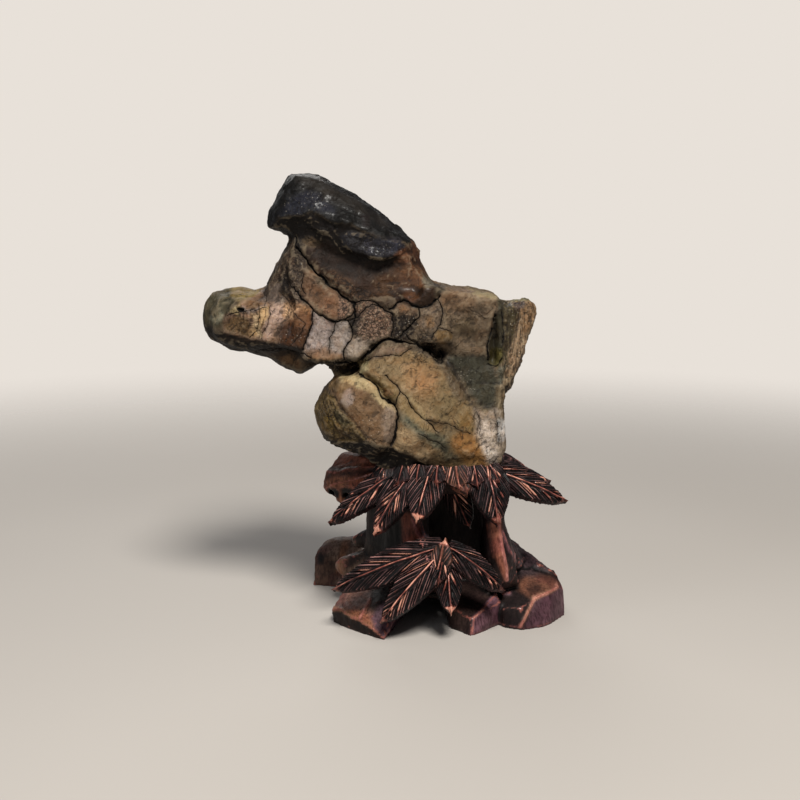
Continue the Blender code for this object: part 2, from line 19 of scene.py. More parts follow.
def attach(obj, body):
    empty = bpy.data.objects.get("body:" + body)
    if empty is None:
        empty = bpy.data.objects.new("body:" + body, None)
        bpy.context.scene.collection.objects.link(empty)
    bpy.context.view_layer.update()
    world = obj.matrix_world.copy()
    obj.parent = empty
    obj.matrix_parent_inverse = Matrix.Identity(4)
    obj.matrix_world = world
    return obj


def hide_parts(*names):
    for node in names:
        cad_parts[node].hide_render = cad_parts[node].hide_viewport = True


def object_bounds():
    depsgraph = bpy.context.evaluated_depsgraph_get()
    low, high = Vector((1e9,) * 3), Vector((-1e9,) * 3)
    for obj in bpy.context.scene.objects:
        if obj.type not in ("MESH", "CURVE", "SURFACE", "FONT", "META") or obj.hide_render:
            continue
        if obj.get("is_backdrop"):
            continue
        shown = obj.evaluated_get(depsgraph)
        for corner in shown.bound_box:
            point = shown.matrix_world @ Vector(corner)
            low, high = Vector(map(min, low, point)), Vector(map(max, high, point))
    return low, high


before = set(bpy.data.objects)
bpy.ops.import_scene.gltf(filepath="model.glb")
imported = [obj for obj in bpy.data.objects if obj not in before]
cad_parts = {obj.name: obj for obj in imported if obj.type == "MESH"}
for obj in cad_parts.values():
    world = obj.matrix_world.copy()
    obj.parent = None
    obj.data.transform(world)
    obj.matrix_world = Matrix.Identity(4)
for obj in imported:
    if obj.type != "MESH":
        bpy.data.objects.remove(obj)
cad_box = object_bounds()
print("nodes:", sorted(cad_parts))

# %% [markdown]
# ## Noise that comes out the same
#
# Noise gives both pieces their natural unevenness. Blender sets one kind of it, the noise that
# pushes a point about, by the clock when it starts, so an unseeded script would crack the stone a
# little differently each time. A seed keeps one and the same stone.

# %% Seed of the noise
NOISE_SEED = 2
noise.seed_set(NOISE_SEED)
print("noise seeded with", NOISE_SEED)

# %% [markdown]
# ## Measures
#
# Every shape below was drawn in millimetres from a point under the middle of the stone, on the
# ground, with x to the right, y to the back and z up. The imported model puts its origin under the
# middle of the whole object instead, so DRAWING says where the drawing's own point lies in it.

# %% Units and the drawing's origin
MM = 0.001
DRAWING = np.array([7.41, -8.42, 0.0])


def on_model(point):
    """A point of the drawing, in millimetres, as a place in the model, in metres."""
    return Vector((np.array(point, float) + DRAWING) * MM)


print("the drawing's origin is at", list(DRAWING), "mm in the model")

# %% [markdown]
# ## The camera
#
# The camera stands at table height and looks slightly down, so the top of the stand's leaves
# shows and the cap of the stone is seen from just below its ridge. A lens of 50 mm on a 36 mm
# sensor keeps the snout, which comes forward, from looking too large.

# %% Camera
CAMERA_PLACE = (0.0, -639.0, 229.0)
CAMERA_DIP = 9.0
lens = bpy.data.cameras.new("camera")
lens.lens = 50.0
lens.sensor_width = 36.0
camera = bpy.data.objects.new("camera", lens)
bpy.context.scene.collection.objects.link(camera)
camera.location = on_model(CAMERA_PLACE)
camera.rotation_euler = (math.radians(90.0 - CAMERA_DIP), 0.0, 0.0)
bpy.context.scene.camera = camera
print("camera at", [round(v, 3) for v in camera.location])

# %% [markdown]
# ## Shader maths as plain expressions
#
# A finish is a net of shader nodes. Written out node by node it is long and hard to read, so
# Value wraps a socket that carries a number, and + - * on it add the Math nodes. A bar between
# two values takes the larger one. The material itself comes further down: its method node() adds
# any other node, and the rest are short names for the nodes used most.

# %% Value: a number over a surface
class Value:
    """A number worked out at each point of a surface."""

    def __init__(self, finish, socket):
        self.finish, self.socket = finish, socket

    def maths(self, operation, first, second):
        settings = {"operation": operation}
        return self.finish.node("ShaderNodeMath", settings, {0: first, 1: second})

    def __add__(self, other):
        return self.maths("ADD", self, other)

    def __sub__(self, other):
        return self.maths("SUBTRACT", self, other)

    def __rsub__(self, other):
        return self.maths("SUBTRACT", other, self)

    def __mul__(self, other):
        return self.maths("MULTIPLY", self, other)

    def __or__(self, other):
        return self.maths("MAXIMUM", self, other)

    def __abs__(self):
        return self.maths("ABSOLUTE", self, 0.0)

    __radd__ = __add__
    __rmul__ = __mul__

    def between(self, low, high):
        """0 up to low, 1 from high, and a smooth step from one to the other."""
        settings = {"interpolation_type": "SMOOTHSTEP"}
        sockets = {"Value": self, "From Min": low, "From Max": high}
        return self.finish.node("ShaderNodeMapRange", settings, sockets)


print("numbers over a surface can be added, subtracted and multiplied")

# %% [markdown]
# Colours are easiest to judge as on a paint card, with red, green and blue from 0 to 255. Blender
# adds up light instead, where half the number is far less than half as bright, so shade() turns
# the one into the other.

# %% Shade: a colour from a paint card
def shade(red, green, blue):
    """A colour given as on a paint card, 0 to 255, in the numbers that light is added in."""
    share = np.array([red, green, blue]) / 255.0
    return tuple(np.where(share < 0.04045, share / 12.92, ((share + 0.055) / 1.055) ** 2.4))


print("a middle grey is", [round(float(v), 3) for v in shade(128, 128, 128)])

# %% [markdown]
# Material makes a material and holds its nodes. It reads what was painted on the mesh, and it
# knows the place of each point of the surface, which it can turn and draw out.

# %% Material: nodes and places
class Material:
    """A material, and the nodes that it is made of."""

    def __init__(self, name, even):
        """Even gives the settings that are the same all over the surface."""
        self.material = bpy.data.materials.new(name)
        self.material.use_nodes = True
        self.nodes = self.material.node_tree.nodes
        self.links = self.material.node_tree.links
        self.surface = self.nodes["Principled BSDF"]
        for key, number in even.items():
            self.surface.inputs[key].default_value = number

    def node(self, kind, settings=None, sockets=None, output=0):
        made = self.nodes.new(kind)
        for key, setting in (settings or {}).items():
            setattr(made, key, setting)
        for key, given in (sockets or {}).items():
            self.plug(made.inputs[key], given)
        return Value(self, made.outputs[output])

    def plug(self, socket, given):
        if isinstance(given, Value):
            self.links.new(given.socket, socket)
        elif socket.type == "RGBA":
            socket.default_value = (*given, 1.0)
        else:
            socket.default_value = given

    def set(self, key, given):
        self.plug(self.surface.inputs[key], given)

    def painted(self, name):
        """A number painted on the points of the mesh."""
        return self.node("ShaderNodeAttribute", {"attribute_name": name}, output="Fac")

    def painted_colour(self, name):
        return self.node("ShaderNodeAttribute", {"attribute_name": name}, output="Color")

    def place(self, turn=(0, 0, 0), stretch=(1, 1, 1)):
        """The point of the surface, turned by degrees and drawn out along its axes."""
        where = self.node("ShaderNodeTexCoord", output="Object")
        angles = [math.radians(a) for a in turn]
        sockets = {"Vector": where, "Rotation": angles, "Scale": [1.0 / s for s in stretch]}
        return self.node("ShaderNodeMapping", None, sockets)

    def vector(self, operation, first, second):
        return self.node("ShaderNodeVectorMath", {"operation": operation}, {0: first, 1: second})


print("materials can read what is painted on a mesh")

# %% [markdown]
# Finish adds patterns. Clouds, cells and crags are its three kinds: soft patches, a net of cracks
# or pits, and the sharp crests of broken rock. Every size is given in the millimetres of the real
# object.

# %% Finish: a material with patterns
CRAG_SETTINGS = {"Detail": 7.0, "Roughness": 0.62, "Offset": 0.9, "Gain": 1.6}


class Finish(Material):
    """A material whose colours and bumps follow patterns."""

    def cloud(self, size, detail=3.0, place=None, rough=0.55, warp=0.0):
        """Soft noise from 0 to 1 with patches of this size, in millimetres."""
        sockets = {"Vector": place or self.place(), "Scale": 1.0 / (size * MM)}
        sockets.update({"Detail": detail, "Roughness": rough, "Distortion": warp})
        return self.node("ShaderNodeTexNoise", None, sockets)

    def cells(self, size, feature="F1", place=None):
        """Distance to the nearest of many points this far apart, or to the edge between two."""
        sockets = {"Vector": place or self.place(), "Scale": 1.0 / (size * MM)}
        return self.node("ShaderNodeTexVoronoi", {"feature": feature}, sockets, "Distance")

    def crags(self, size):
        """Noise of sharp crests and round hollows, as rock breaks."""
        sockets = {"Vector": self.place(), "Scale": 0.25 / (size * MM), **CRAG_SETTINGS}
        return self.node("ShaderNodeTexNoise", {"noise_type": "RIDGED_MULTIFRACTAL"}, sockets)

    def bent(self, size, reach):
        """The point of the surface, pushed to and fro by noise, both in millimetres."""
        where = self.place()
        noises = {"Vector": where, "Scale": 1.0 / (size * 4.0 * MM), "Detail": 2.0}
        push = self.node("ShaderNodeTexNoise", None, noises, "Color")
        push = self.vector("SUBTRACT", push, (0.5, 0.5, 0.5))
        push = self.vector("MULTIPLY", push, (2.0 * reach * MM,) * 3)
        return self.vector("ADD", where, push)

    def hairlines(self, size, width, place, warp):
        """1 on thin lines that wander round patches of this size, 0 between them."""
        middle = abs(self.cloud(size, 2.0, place, warp=warp) - 0.5)
        return 1 - middle.between(0.3 * width, width)

    def mix(self, share, first, second, blend="MIX"):
        """Colour first, gone over with colour second by a share."""
        settings = {"data_type": "RGBA", "blend_type": blend, "clamp_factor": True}
        return self.node("ShaderNodeMix", settings, {0: share, 6: first, 7: second}, 2)

    def bump(self, height, depth, below=None):
        """A bump of this depth in millimetres, over another bump."""
        sockets = {"Height": height, "Distance": depth * MM, "Strength": 1.0}
        if below:
            sockets["Normal"] = below
        return self.node("ShaderNodeBump", None, sockets, "Normal")


print("patterns ready: cloud, cells, crags, bent, hairlines")

# %% [markdown]
# ## From a plain solid to a fine surface
#
# The solids are thinned to a few thousand triangles, which show as flat facets close up. Blender's
# voxel remesh lays an even grid over such a solid, and a few smoothing passes take the facets off
# it. The result has points close enough together to carry chips, grain and tool marks.

# %% A fine copy of a node
def merged_copy(node, name):
    """The node's mesh with its loose triangles joined, as an object of its own."""
    bm = bmesh.new()
    bm.from_mesh(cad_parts[node].data)
    bmesh.ops.remove_doubles(bm, verts=bm.verts, dist=0.00001)
    mesh = bpy.data.meshes.new(name)
    bm.to_mesh(mesh)
    bm.free()
    piece = bpy.data.objects.new(name, mesh)
    bpy.context.scene.collection.objects.link(piece)
    return piece


def settle(piece):
    """Makes the modifiers of a piece part of its mesh."""
    graph = bpy.context.evaluated_depsgraph_get()
    mesh = bpy.data.meshes.new_from_object(piece.evaluated_get(graph))
    piece.modifiers.clear()
    piece.data = mesh
    mesh.materials.clear()


def fine_copy(node, name, grain, passes):
    """A copy of the node with points about grain millimetres apart, smoothed."""
    piece = merged_copy(node, name)
    remesh = piece.modifiers.new("even grid", "REMESH")
    remesh.mode = "VOXEL"
    remesh.voxel_size = grain * MM
    smooth = piece.modifiers.new("take off facets", "SMOOTH")
    smooth.factor = 0.5
    smooth.iterations = passes
    settle(piece)
    return piece


print("fine copies of", sorted(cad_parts), "can be made")

# %% [markdown]
# Three kinds of noise rough up a surface: clouds for soft unevenness, crags for round swells with
# creases between them, and chips for flat breaks. Each takes places in sizes of its own grain.

# %% A smooth step and three kinds of noise
def step(low, high, values):
    """0 up to low, 1 from high, and a smooth step between."""
    share = np.clip((values - low) / (high - low), 0.0, 1.0)
    return share * share * (3.0 - 2.0 * share)


def clouds(places):
    """Soft noise, about -1 to 1."""
    return np.array([noise.fractal(Vector(p), 1.0, 2.0, 2) for p in places])


def crags(places):
    """Noise of round swells with sharp creases between them, about -0.5 to 0.7."""
    return 1.6 * np.array([noise.turbulence(Vector(p), 2, True) for p in places]) - 0.6


def chips(places):
    """Flat facets that meet at sharp steps, each tilted its own way, about -0.4 to 0.4."""
    heights = []
    for place in places:
        centre = noise.voronoi(Vector(place))[1][0]
        tilt = noise.noise_vector(centre * 7.3)
        heights.append((Vector(place) - centre).dot(tilt))
    return np.array(heights)


print("half way up a step from 0 to 4 lies", step(0.0, 4.0, 2.0))

# %% [markdown]
# The shape is worked on as rows of numbers: one row for each point of the mesh, in the drawing's
# millimetres. Relief is the surface while it is worked on. It knows which way each point faces,
# pushes points in or out, and paints numbers and colours on them for the finish to read.

# %% Relief: a mesh as rows of points
def read(data, field, width=3):
    """One field of the mesh as rows: places and normals in threes, edges as pairs of points."""
    rows = np.empty(len(data) * width, np.float32 if width == 3 else np.int32)
    data.foreach_get(field, rows)
    return rows.reshape(-1, width)


class Relief:
    """The points of a piece, in the drawing's millimetres, and which way they face."""

    def __init__(self, piece):
        self.mesh = piece.data
        self.refresh()
        self.pairs = read(self.mesh.edges, "vertices", 2)
        self.count = len(self.points)
        self.links = np.bincount(self.pairs.ravel(), minlength=self.count)[:, None]

    def refresh(self):
        self.points = read(self.mesh.vertices, "co").astype(float) / MM - DRAWING
        self.facing = read(self.mesh.vertices, "normal").astype(float)

    def raise_by(self, height):
        """Moves each point along its normal by a height in millimetres."""
        self.move_by(self.facing * height[:, None])

    def move_by(self, moves):
        moved = self.points + moves
        self.mesh.vertices.foreach_set("co", ((moved + DRAWING) * MM).ravel())
        self.mesh.update()
        self.refresh()

    def averaged(self, rows, passes):
        """Each row's mean with its neighbours', several times over."""
        first, second = self.pairs.T
        for _ in range(passes):
            columns = [np.bincount(first, column[second], self.count)
                       + np.bincount(second, column[first], self.count) for column in rows.T]
            rows = 0.5 * rows + 0.5 * np.stack(columns, axis=1) / self.links
        return rows

    def bulge(self, passes):
        """How far each point stands out of the surface round it, in millimetres."""
        away = self.points - self.averaged(self.points, passes)
        return np.sum(away * self.facing, axis=1)

    def noise(self, kind, size, where=None):
        """Noise with swells of a size, or of three sizes along x, y and z, where a share is."""
        chosen = slice(None) if where is None else where > 0.0
        heights = np.zeros(self.count)
        heights[chosen] = kind(self.points[chosen] / size)
        return heights

    def paint(self, name, values):
        layer = self.mesh.attributes.new(name, "FLOAT", "POINT")
        layer.data.foreach_set("value", values.astype(np.float32))

    def paint_colour(self, name, colours):
        layer = self.mesh.attributes.new(name, "FLOAT_COLOR", "POINT")
        rows = np.column_stack([colours, np.ones(self.count)])
        layer.data.foreach_set("color", rows.astype(np.float32).ravel())


print("relief can be raised, averaged, roughened and painted")

# %% [markdown]
# Two measures place things on a surface: how far a point is from a line, for fissures and ridges,
# and how far it is inside a closed outline, for the patches of a colour or of a texture. Both look
# at the point from the front, so they use x and z alone.

# %% Distances to lines and outlines
LINE_END = 5.0


def to_run(points, start, end):
    """How far each (x, z) point is from a straight run, and how far along it it lies."""
    run = np.subtract(end, start)
    along = np.clip((points - start) @ run / (run @ run), 0.0, 1.0)
    return np.linalg.norm(points - start - along[:, None] * run, axis=1), along


def to_line(points, line):
    """How far each (x, z) point is from a line of several runs."""
    line = np.array(line, float)
    return np.min([to_run(points, a, b)[0] for a, b in zip(line[:-1], line[1:])], axis=0)


def beside(points, line):
    """How far each (x, z) point is to the left of a line, and 0 at its ends rising to 1."""
    line = np.array(line, float)
    lengths = np.linalg.norm(np.diff(line, axis=0), axis=1)
    starts = np.concatenate([[0.0], np.cumsum(lengths)])
    nearest = np.full(len(points), np.inf)
    left, run = np.zeros(len(points)), np.zeros(len(points))
    for a, b, start, length in zip(line[:-1], line[1:], starts, lengths):
        apart, along = to_run(points, a, b)
        turn = (b[0] - a[0]) * (points[:, 1] - a[1]) - (b[1] - a[1]) * (points[:, 0] - a[0])
        closer = apart < nearest
        nearest = np.where(closer, apart, nearest)
        left = np.where(closer, np.copysign(apart, turn), left)
        run = np.where(closer, start + along * length, run)
    return left, step(0.0, LINE_END, np.minimum(run, starts[-1] - run))


def inside(points, outline):
    """How far each (x, z) point is inside a closed outline; negative outside it."""
    corners = np.array(outline, float)
    nearest = np.full(len(points), np.inf)
    crossings = np.zeros(len(points), int)
    for (x0, z0), (x1, z1) in zip(corners, np.roll(corners, -1, axis=0)):
        nearest = np.minimum(nearest, to_run(points, np.array([x0, z0]), np.array([x1, z1]))[0])
        if z0 != z1:
            spans = (points[:, 1] >= min(z0, z1)) & (points[:, 1] < max(z0, z1))
            cut = x0 + (points[:, 1] - z0) * (x1 - x0) / (z1 - z0)
            crossings += spans & (points[:, 0] < cut)
    return np.where(crossings % 2 == 1, nearest, -nearest)


print("surface helpers ready")

# %% [markdown]
# ## The stone: where its fissures run
#
# The body of the stone is old rock that cracked as it dried and filled with a dark mineral. The
# fissures part it into blocks like the plates of a shell. Each is a line of listed points with a
# width and a depth. The near side faces the camera, and the far side is drawn in its manner. Rows
# of the later tables may also count on both sides.

# %% Fissures of the near and far side
NEAR, FAR, BOTH = -1.0, 1.0, 0.0
FISSURES = [
    # side, width, depth, line from the front
    (NEAR, 1.5, 1.6, [(-58, 222), (-57, 217), (-55, 212), (-49, 206), (-46, 203), (-41, 198),
     (-36, 193.5), (-32, 190), (-28, 188), (-24.5, 187), (-24.5, 182), (-25, 178.5)]),
    (NEAR, 1.2, 1.3, [(-61, 196), (-58, 195), (-56, 192), (-54, 189), (-51, 186), (-48, 183),
     (-44.5, 180), (-41, 177.5), (-35.5, 176.5), (-30, 177), (-27, 180), (-24.5, 182)]),
    (NEAR, 0.7, 0.6, [(-53, 202), (-54, 198), (-54, 194), (-52.5, 190.5)]),
    (NEAR, 2.4, 2.2, [(-90, 182.8), (-87, 181.8)]),
    (NEAR, 0.6, 0.6, [(-96, 179), (-91, 181), (-80, 181.5), (-75, 184)]),
    (NEAR, 0.5, 0.5, [(-78.5, 184), (-77.5, 178), (-79.5, 171), (-84, 166.5)]),
    (NEAR, 0.5, 0.5, [(-72, 186), (-71.5, 179), (-74, 172), (-78, 166)]),
    (NEAR, 0.5, 0.5, [(-56.5, 180), (-52.5, 175), (-56, 167), (-60, 163)]),
    (NEAR, 1.1, 1.1, [(-47.5, 182), (-48, 175), (-49.5, 171), (-51, 166), (-53, 162), (-54, 160)]),
    (NEAR, 0.6, 0.5, [(-35, 176), (-36, 171), (-38.5, 167), (-39.5, 162), (-39.5, 158)]),
    (NEAR, 1.0, 1.0, [(-29, 177), (-27, 173), (-26, 169), (-28.5, 164), (-31, 157.5), (-31, 155)]),
    (NEAR, 0.8, 0.8, [(-33, 177.5), (-28.5, 176.5), (-24.5, 178.5), (-27, 173)]),
    (NEAR, 1.0, 1.0, [(-24.5, 187), (-18.5, 188), (-13, 186), (-8, 183), (-4.5, 180), (-4, 175),
     (-4.5, 168)]),
    (NEAR, 0.8, 0.8, [(-25, 178.5), (-23, 178.5), (-18.5, 183), (-15, 185), (-10, 184)]),
    (NEAR, 1.3, 1.2, [(-6, 183), (-2, 186), (2, 187.5), (6.5, 185), (11, 183.5), (15, 184),
     (19, 187.5), (22, 190.5)]),
    (NEAR, 1.2, 1.2, [(11, 183.5), (10, 179), (6.5, 175), (3.5, 172), (0, 168)]),
    (NEAR, 0.8, 0.8, [(21, 189), (22.5, 184), (23, 180), (22, 174.5), (18, 170), (17, 167.5)]),
    (NEAR, 0.6, 0.5, [(17, 167.5), (18, 170.5), (21, 172.5), (25, 172), (29, 168.5)]),
    (NEAR, 0.9, 0.8, [(2, 170), (9, 164.5), (14.5, 161), (20, 158)]),
    (NEAR, 0.4, 0.3, [(38, 183), (41.5, 182), (46, 178.5)]),
    (NEAR, 2.2, 2.2, [(-40, 152), (-32, 153.5), (-25, 152), (-22, 154), (-16.5, 160), (-11, 165),
     (-4.5, 166.5), (1, 165.5)]),
    (NEAR, 1.2, 1.2, [(1, 165.5), (9, 163.5), (16, 159.5), (21, 154)]),
    (NEAR, 0.7, 0.6, [(-19, 154.5), (-14, 157), (-7.5, 158.5), (0, 158.5), (6, 161)]),
    (NEAR, 1.6, 1.2, [(23, 158.5), (24, 156), (23.5, 154)]),
    (NEAR, 1.5, 1.5, [(-25, 149), (-21, 146.5), (-16.5, 144), (-13, 140.5), (-9, 134.5),
     (-6, 132.5), (-2.5, 130), (-1.5, 127.5), (-2, 122), (-1.5, 118), (-3, 114), (-4.5, 108)]),
    (NEAR, 0.9, 0.9, [(-2.5, 130), (-1, 135), (0, 139)]),
    (NEAR, 0.8, 0.8, [(-8.5, 147), (-6, 144.5), (-1.5, 141), (0, 139), (4, 135), (6, 130),
     (10, 125.5), (13.5, 122.5), (18.5, 119.5), (21.5, 116)]),
    (NEAR, 0.5, 0.4, [(13.5, 122.5), (23.5, 120.5), (32, 117), (39, 113)]),
    (NEAR, 0.6, 0.4, [(10, 115), (15.5, 111.5), (20, 109.5), (24.5, 106.5)]),
    (NEAR, 1.4, 1.5, [(53, 179), (51, 172.5), (49, 165), (48.5, 159), (49, 153.5)]),
    (NEAR, 1.0, 1.0, [(57, 190), (56.5, 179), (58, 170), (57.5, 162), (58, 155.5), (53.5, 151),
     (49, 151.5)]),
    (NEAR, 0.3, 0.3, [(42, 127), (44, 119), (43, 114)]),
    (NEAR, 0.4, 0.3, [(53, 126), (54.5, 118), (55.5, 108)]),
    (NEAR, 0.8, 0.8, [(-81, 157.5), (-72, 160), (-64, 160), (-59, 158.5), (-53.5, 158),
     (-49.5, 155.5)]),
    (NEAR, 0.4, 0.4, [(-77, 193), (-74.5, 188), (-75, 184.5), (-73, 183.5)]),
    (NEAR, 0.5, 0.4, [(-66, 190.5), (-62.5, 187.5), (-60.5, 184.5), (-59, 183.5)]),
    (FAR, 1.6, 1.6, [(-62, 217), (-50, 208), (-38, 203), (-14, 196), (-4, 186), (6, 178),
     (18, 174), (30, 170), (44, 166), (54, 158)]),
    (FAR, 1.3, 1.4, [(-14, 196), (-22, 188), (-26, 178), (-24, 166), (-20, 156), (-10, 148),
     (2, 142), (16, 138), (30, 132), (44, 130), (58, 127)]),
    (FAR, 1.1, 1.1, [(-68, 188), (-58, 180), (-46, 176), (-34, 179), (-24, 178)]),
    (FAR, 1.2, 1.2, [(2, 142), (-3, 132), (-6, 122), (-2, 112), (8, 104), (5, 90)]),
    (FAR, 0.9, 0.9, [(-46, 176), (-50, 166), (-47, 156)]),
    (FAR, 0.9, 0.8, [(6, 178), (12, 166), (10, 154), (16, 138)]),
    (FAR, 0.8, 0.7, [(30, 132), (34, 120), (46, 112), (60, 110)]),
    (FAR, 0.8, 0.7, [(-38, 203), (-44, 192), (-46, 176)]),
    (FAR, 0.8, 0.7, [(30, 170), (36, 182), (34, 192)]),
    (FAR, 0.7, 0.6, [(8, 104), (24, 108), (34, 120)]),
]
print(len(FISSURES), "fissures drawn")

# %% [markdown]
# A fissure never runs straight. Before a point's distance to the lines is measured, the point is
# pushed a little to and fro by noise, which makes the line itself wander. The cut is a steep notch
# with a shallow shoulder on both sides, as the rims of a real crack have weathered.

# %% The cut of a fissure
WANDER = [(6.0, 1.1), (2.2, 0.55)]
HAIR = 0.62
FACES_AWAY = 0.1
REFINE = [1.7, 0.8]
FAR_OFF = 99.0
NOTCH_HALF, NOTCH_CURVE = 0.55, 0.7
SHOULDER_DEPTH, SHOULDER_HALF = 0.22, 1.6


def wandering(points):
    """The (x, z) of each point, pushed to and fro as the fissures wander."""
    moved = points[:, [0, 2]].copy()
    for size, reach in WANDER:
        pushes = [noise.noise_vector(Vector(p)) for p in points / size]
        moved += reach * np.array(pushes)[:, [0, 2]]
    return moved


def fissures_at(points, facing):
    """At each point: the nearest fissure in its own widths, its cut, and how far it is away."""
    flat = wandering(points)
    share, cut = np.full(len(points), FAR_OFF), np.zeros(len(points))
    away = np.full(len(points), FAR_OFF)
    for side, width, depth, line in FISSURES:
        seen = facing[:, 1] * side > -FACES_AWAY
        width = HAIR * width
        apart = np.where(seen, to_line(flat, line), FAR_OFF)
        share = np.minimum(share, apart / width)
        away = np.minimum(away, apart)
        notch = depth * np.clip(1.0 - apart / (NOTCH_HALF * width), 0.0, 1.0) ** NOTCH_CURVE
        shoulder = SHOULDER_DEPTH * depth * np.exp(-((apart / (SHOULDER_HALF * width)) ** 2))
        cut = np.maximum(cut, notch + shoulder)
    return share, cut, away


def refine_near_fissures(piece):
    """Divides the edges of the mesh that lie close to a fissure."""
    for reach in REFINE:
        relief = Relief(piece)
        away = fissures_at(relief.points, relief.facing)[2]
        bm = bmesh.new()
        bm.from_mesh(piece.data)
        close = away < reach
        chosen = [e for e in bm.edges if close[e.verts[0].index] and close[e.verts[1].index]]
        bmesh.ops.subdivide_edges(bm, edges=chosen, cuts=1, use_grid_fill=True)
        bm.to_mesh(piece.data)
        bm.free()


print("fissures wander by about", sum(reach for _, reach in WANDER), "mm")

# %% [markdown]
# Now the stone itself is copied. The even grid alone would be too coarse for a crack half a
# millimetre wide, so only the edges close to a fissure are divided, and then divided again.

# %% The stone, dense enough to carve
STONE_GRAIN = 1.3
STONE_PASSES = 2
stone = fine_copy("rock", "stone", STONE_GRAIN, STONE_PASSES)
print("even grid:", len(stone.data.vertices), "points")
refine_near_fissures(stone)
print("with fissures:", len(stone.data.vertices), "points")

# %% [markdown]
# ## The stone: its texture, zone by zone
#
# Water and acid soil have worked on each part of the stone in its own way. The cap is layered
# along its length. The snout is fluted, as if it had dripped. A strip in the middle is a crust of
# small dark pebbles, and the wing on the right is split into upright sheets. Each zone is an
# outline, a size of grain across and along its run, and a height.

# %% Zones of texture
ZONES = [
    # side, outline, soft edge, (size across, size along), direction in degrees, height
    (BOTH, [(-80, 262), (16, 262), (16, 216), (-4, 214), (-34, 218), (-60, 224), (-82, 224)], 3.0,
     (2.4, 18.0), -24.0, 0.22),
    (NEAR, [(-66, 235), (-61, 242), (-51, 246), (-44, 245), (-36, 239), (-36, 235), (-48, 237),
     (-65, 232)], 2.0, (2.6, 3.4), -24.0, 0.35),
    (NEAR, [(-33, 222), (-28, 225), (-21, 224), (-11, 221), (6, 219), (3, 215), (-1, 212),
     (-8, 210), (-17, 211), (-31, 217)], 1.5, (2.2, 2.8), 0.0, 0.75),
    (NEAR, [(-62, 222), (-58, 218), (-54.5, 212), (-52, 207), (-54, 196), (-62, 194), (-76, 195),
     (-68, 203)], 1.5, (1.5, 6.0), 68.0, 0.65),
    (NEAR, [(-65, 193), (-62, 196), (-57, 194), (-52, 188), (-53, 185), (-58, 186)], 1.0,
     (1.8, 2.0), 20.0, 0.65),
    (NEAR, [(-98, 180), (-89, 183), (-78, 183), (-73, 182), (-73, 176), (-80, 167), (-97, 171)],
     2.0, (2.2, 4.5), 70.0, 0.75),
    (NEAR, [(-5, 179), (9, 179), (10, 175), (6, 169), (0, 166), (-4, 168)], 1.0, (1.1, 1.3), 20.0,
     0.70),
    (NEAR, [(9, 166), (16, 170), (20, 164), (23, 159), (19, 157), (13, 162)], 1.0, (1.1, 1.4),
     -35.0, 0.55),
    (NEAR, [(-21, 179), (-16.5, 183.5), (-10, 183), (-4.5, 178.5), (-4, 173), (-6, 169),
     (-13, 167), (-22, 169)], 1.0, (1.3, 1.6), 0.0, 0.35),
    (NEAR, [(-80, 186), (-66, 190), (-50, 184), (-53, 162), (-80, 164)], 3.0, (3.2, 14.0), 66.0,
     0.80),
    (NEAR, [(-84, 186), (-66, 190), (-48, 184), (-53, 160), (-84, 164)], 3.0, (1.5, 9.0), 70.0,
     0.40),
    (BOTH, [(58, 192), (84, 192), (80, 160), (70, 132), (56, 126), (56, 160)], 1.5, (1.7, 15.0),
     84.0, 0.85),
    (NEAR, [(43, 124), (47, 122), (54, 119), (56, 112), (55, 103), (54, 95), (49, 98), (46, 107),
     (43.5, 114)], 1.0, (1.5, 2.8), 60.0, 0.40),
    (NEAR, [(54, 121), (59, 119), (61, 115), (60, 109), (56, 108)], 1.0, (1.1, 6.0), 35.0, 0.40),
    (NEAR, [(-42, 136), (-36, 135), (-31, 128), (-26, 121), (-19, 113), (-21, 110), (-42, 109),
     (-48, 126)], 1.5, (3.0, 5.5), -50.0, 0.75),
    (NEAR, [(-46, 156), (-30, 154), (-23, 154), (-24, 147), (-37, 147), (-48, 150)], 1.5,
     (1.7, 2.2), 10.0, 1.1),
    (NEAR, [(-43, 107), (-33, 110), (-18, 111), (-5, 108), (10, 97), (-6, 98), (-42, 102)], 1.5,
     (2.4, 4.0), 0.0, 0.60),
    (FAR, [(-60, 214), (-20, 212), (8, 196), (4, 182), (-24, 190), (-56, 196)], 3.0, (1.8, 7.0),
     -20.0, 0.6),
    (FAR, [(-24, 176), (4, 176), (14, 160), (6, 146), (-16, 152)], 2.5, (2.0, 2.6), 0.0, 0.6),
]
print(len(ZONES), "zones of texture")

# %% [markdown]
# Where one layer of the stone has broken away from the next, a ledge is left: a step that is sharp
# on one side and fades out on the other. A ledge is drawn as a line with its raised side on the
# left, so the order of its points says which side stands up.

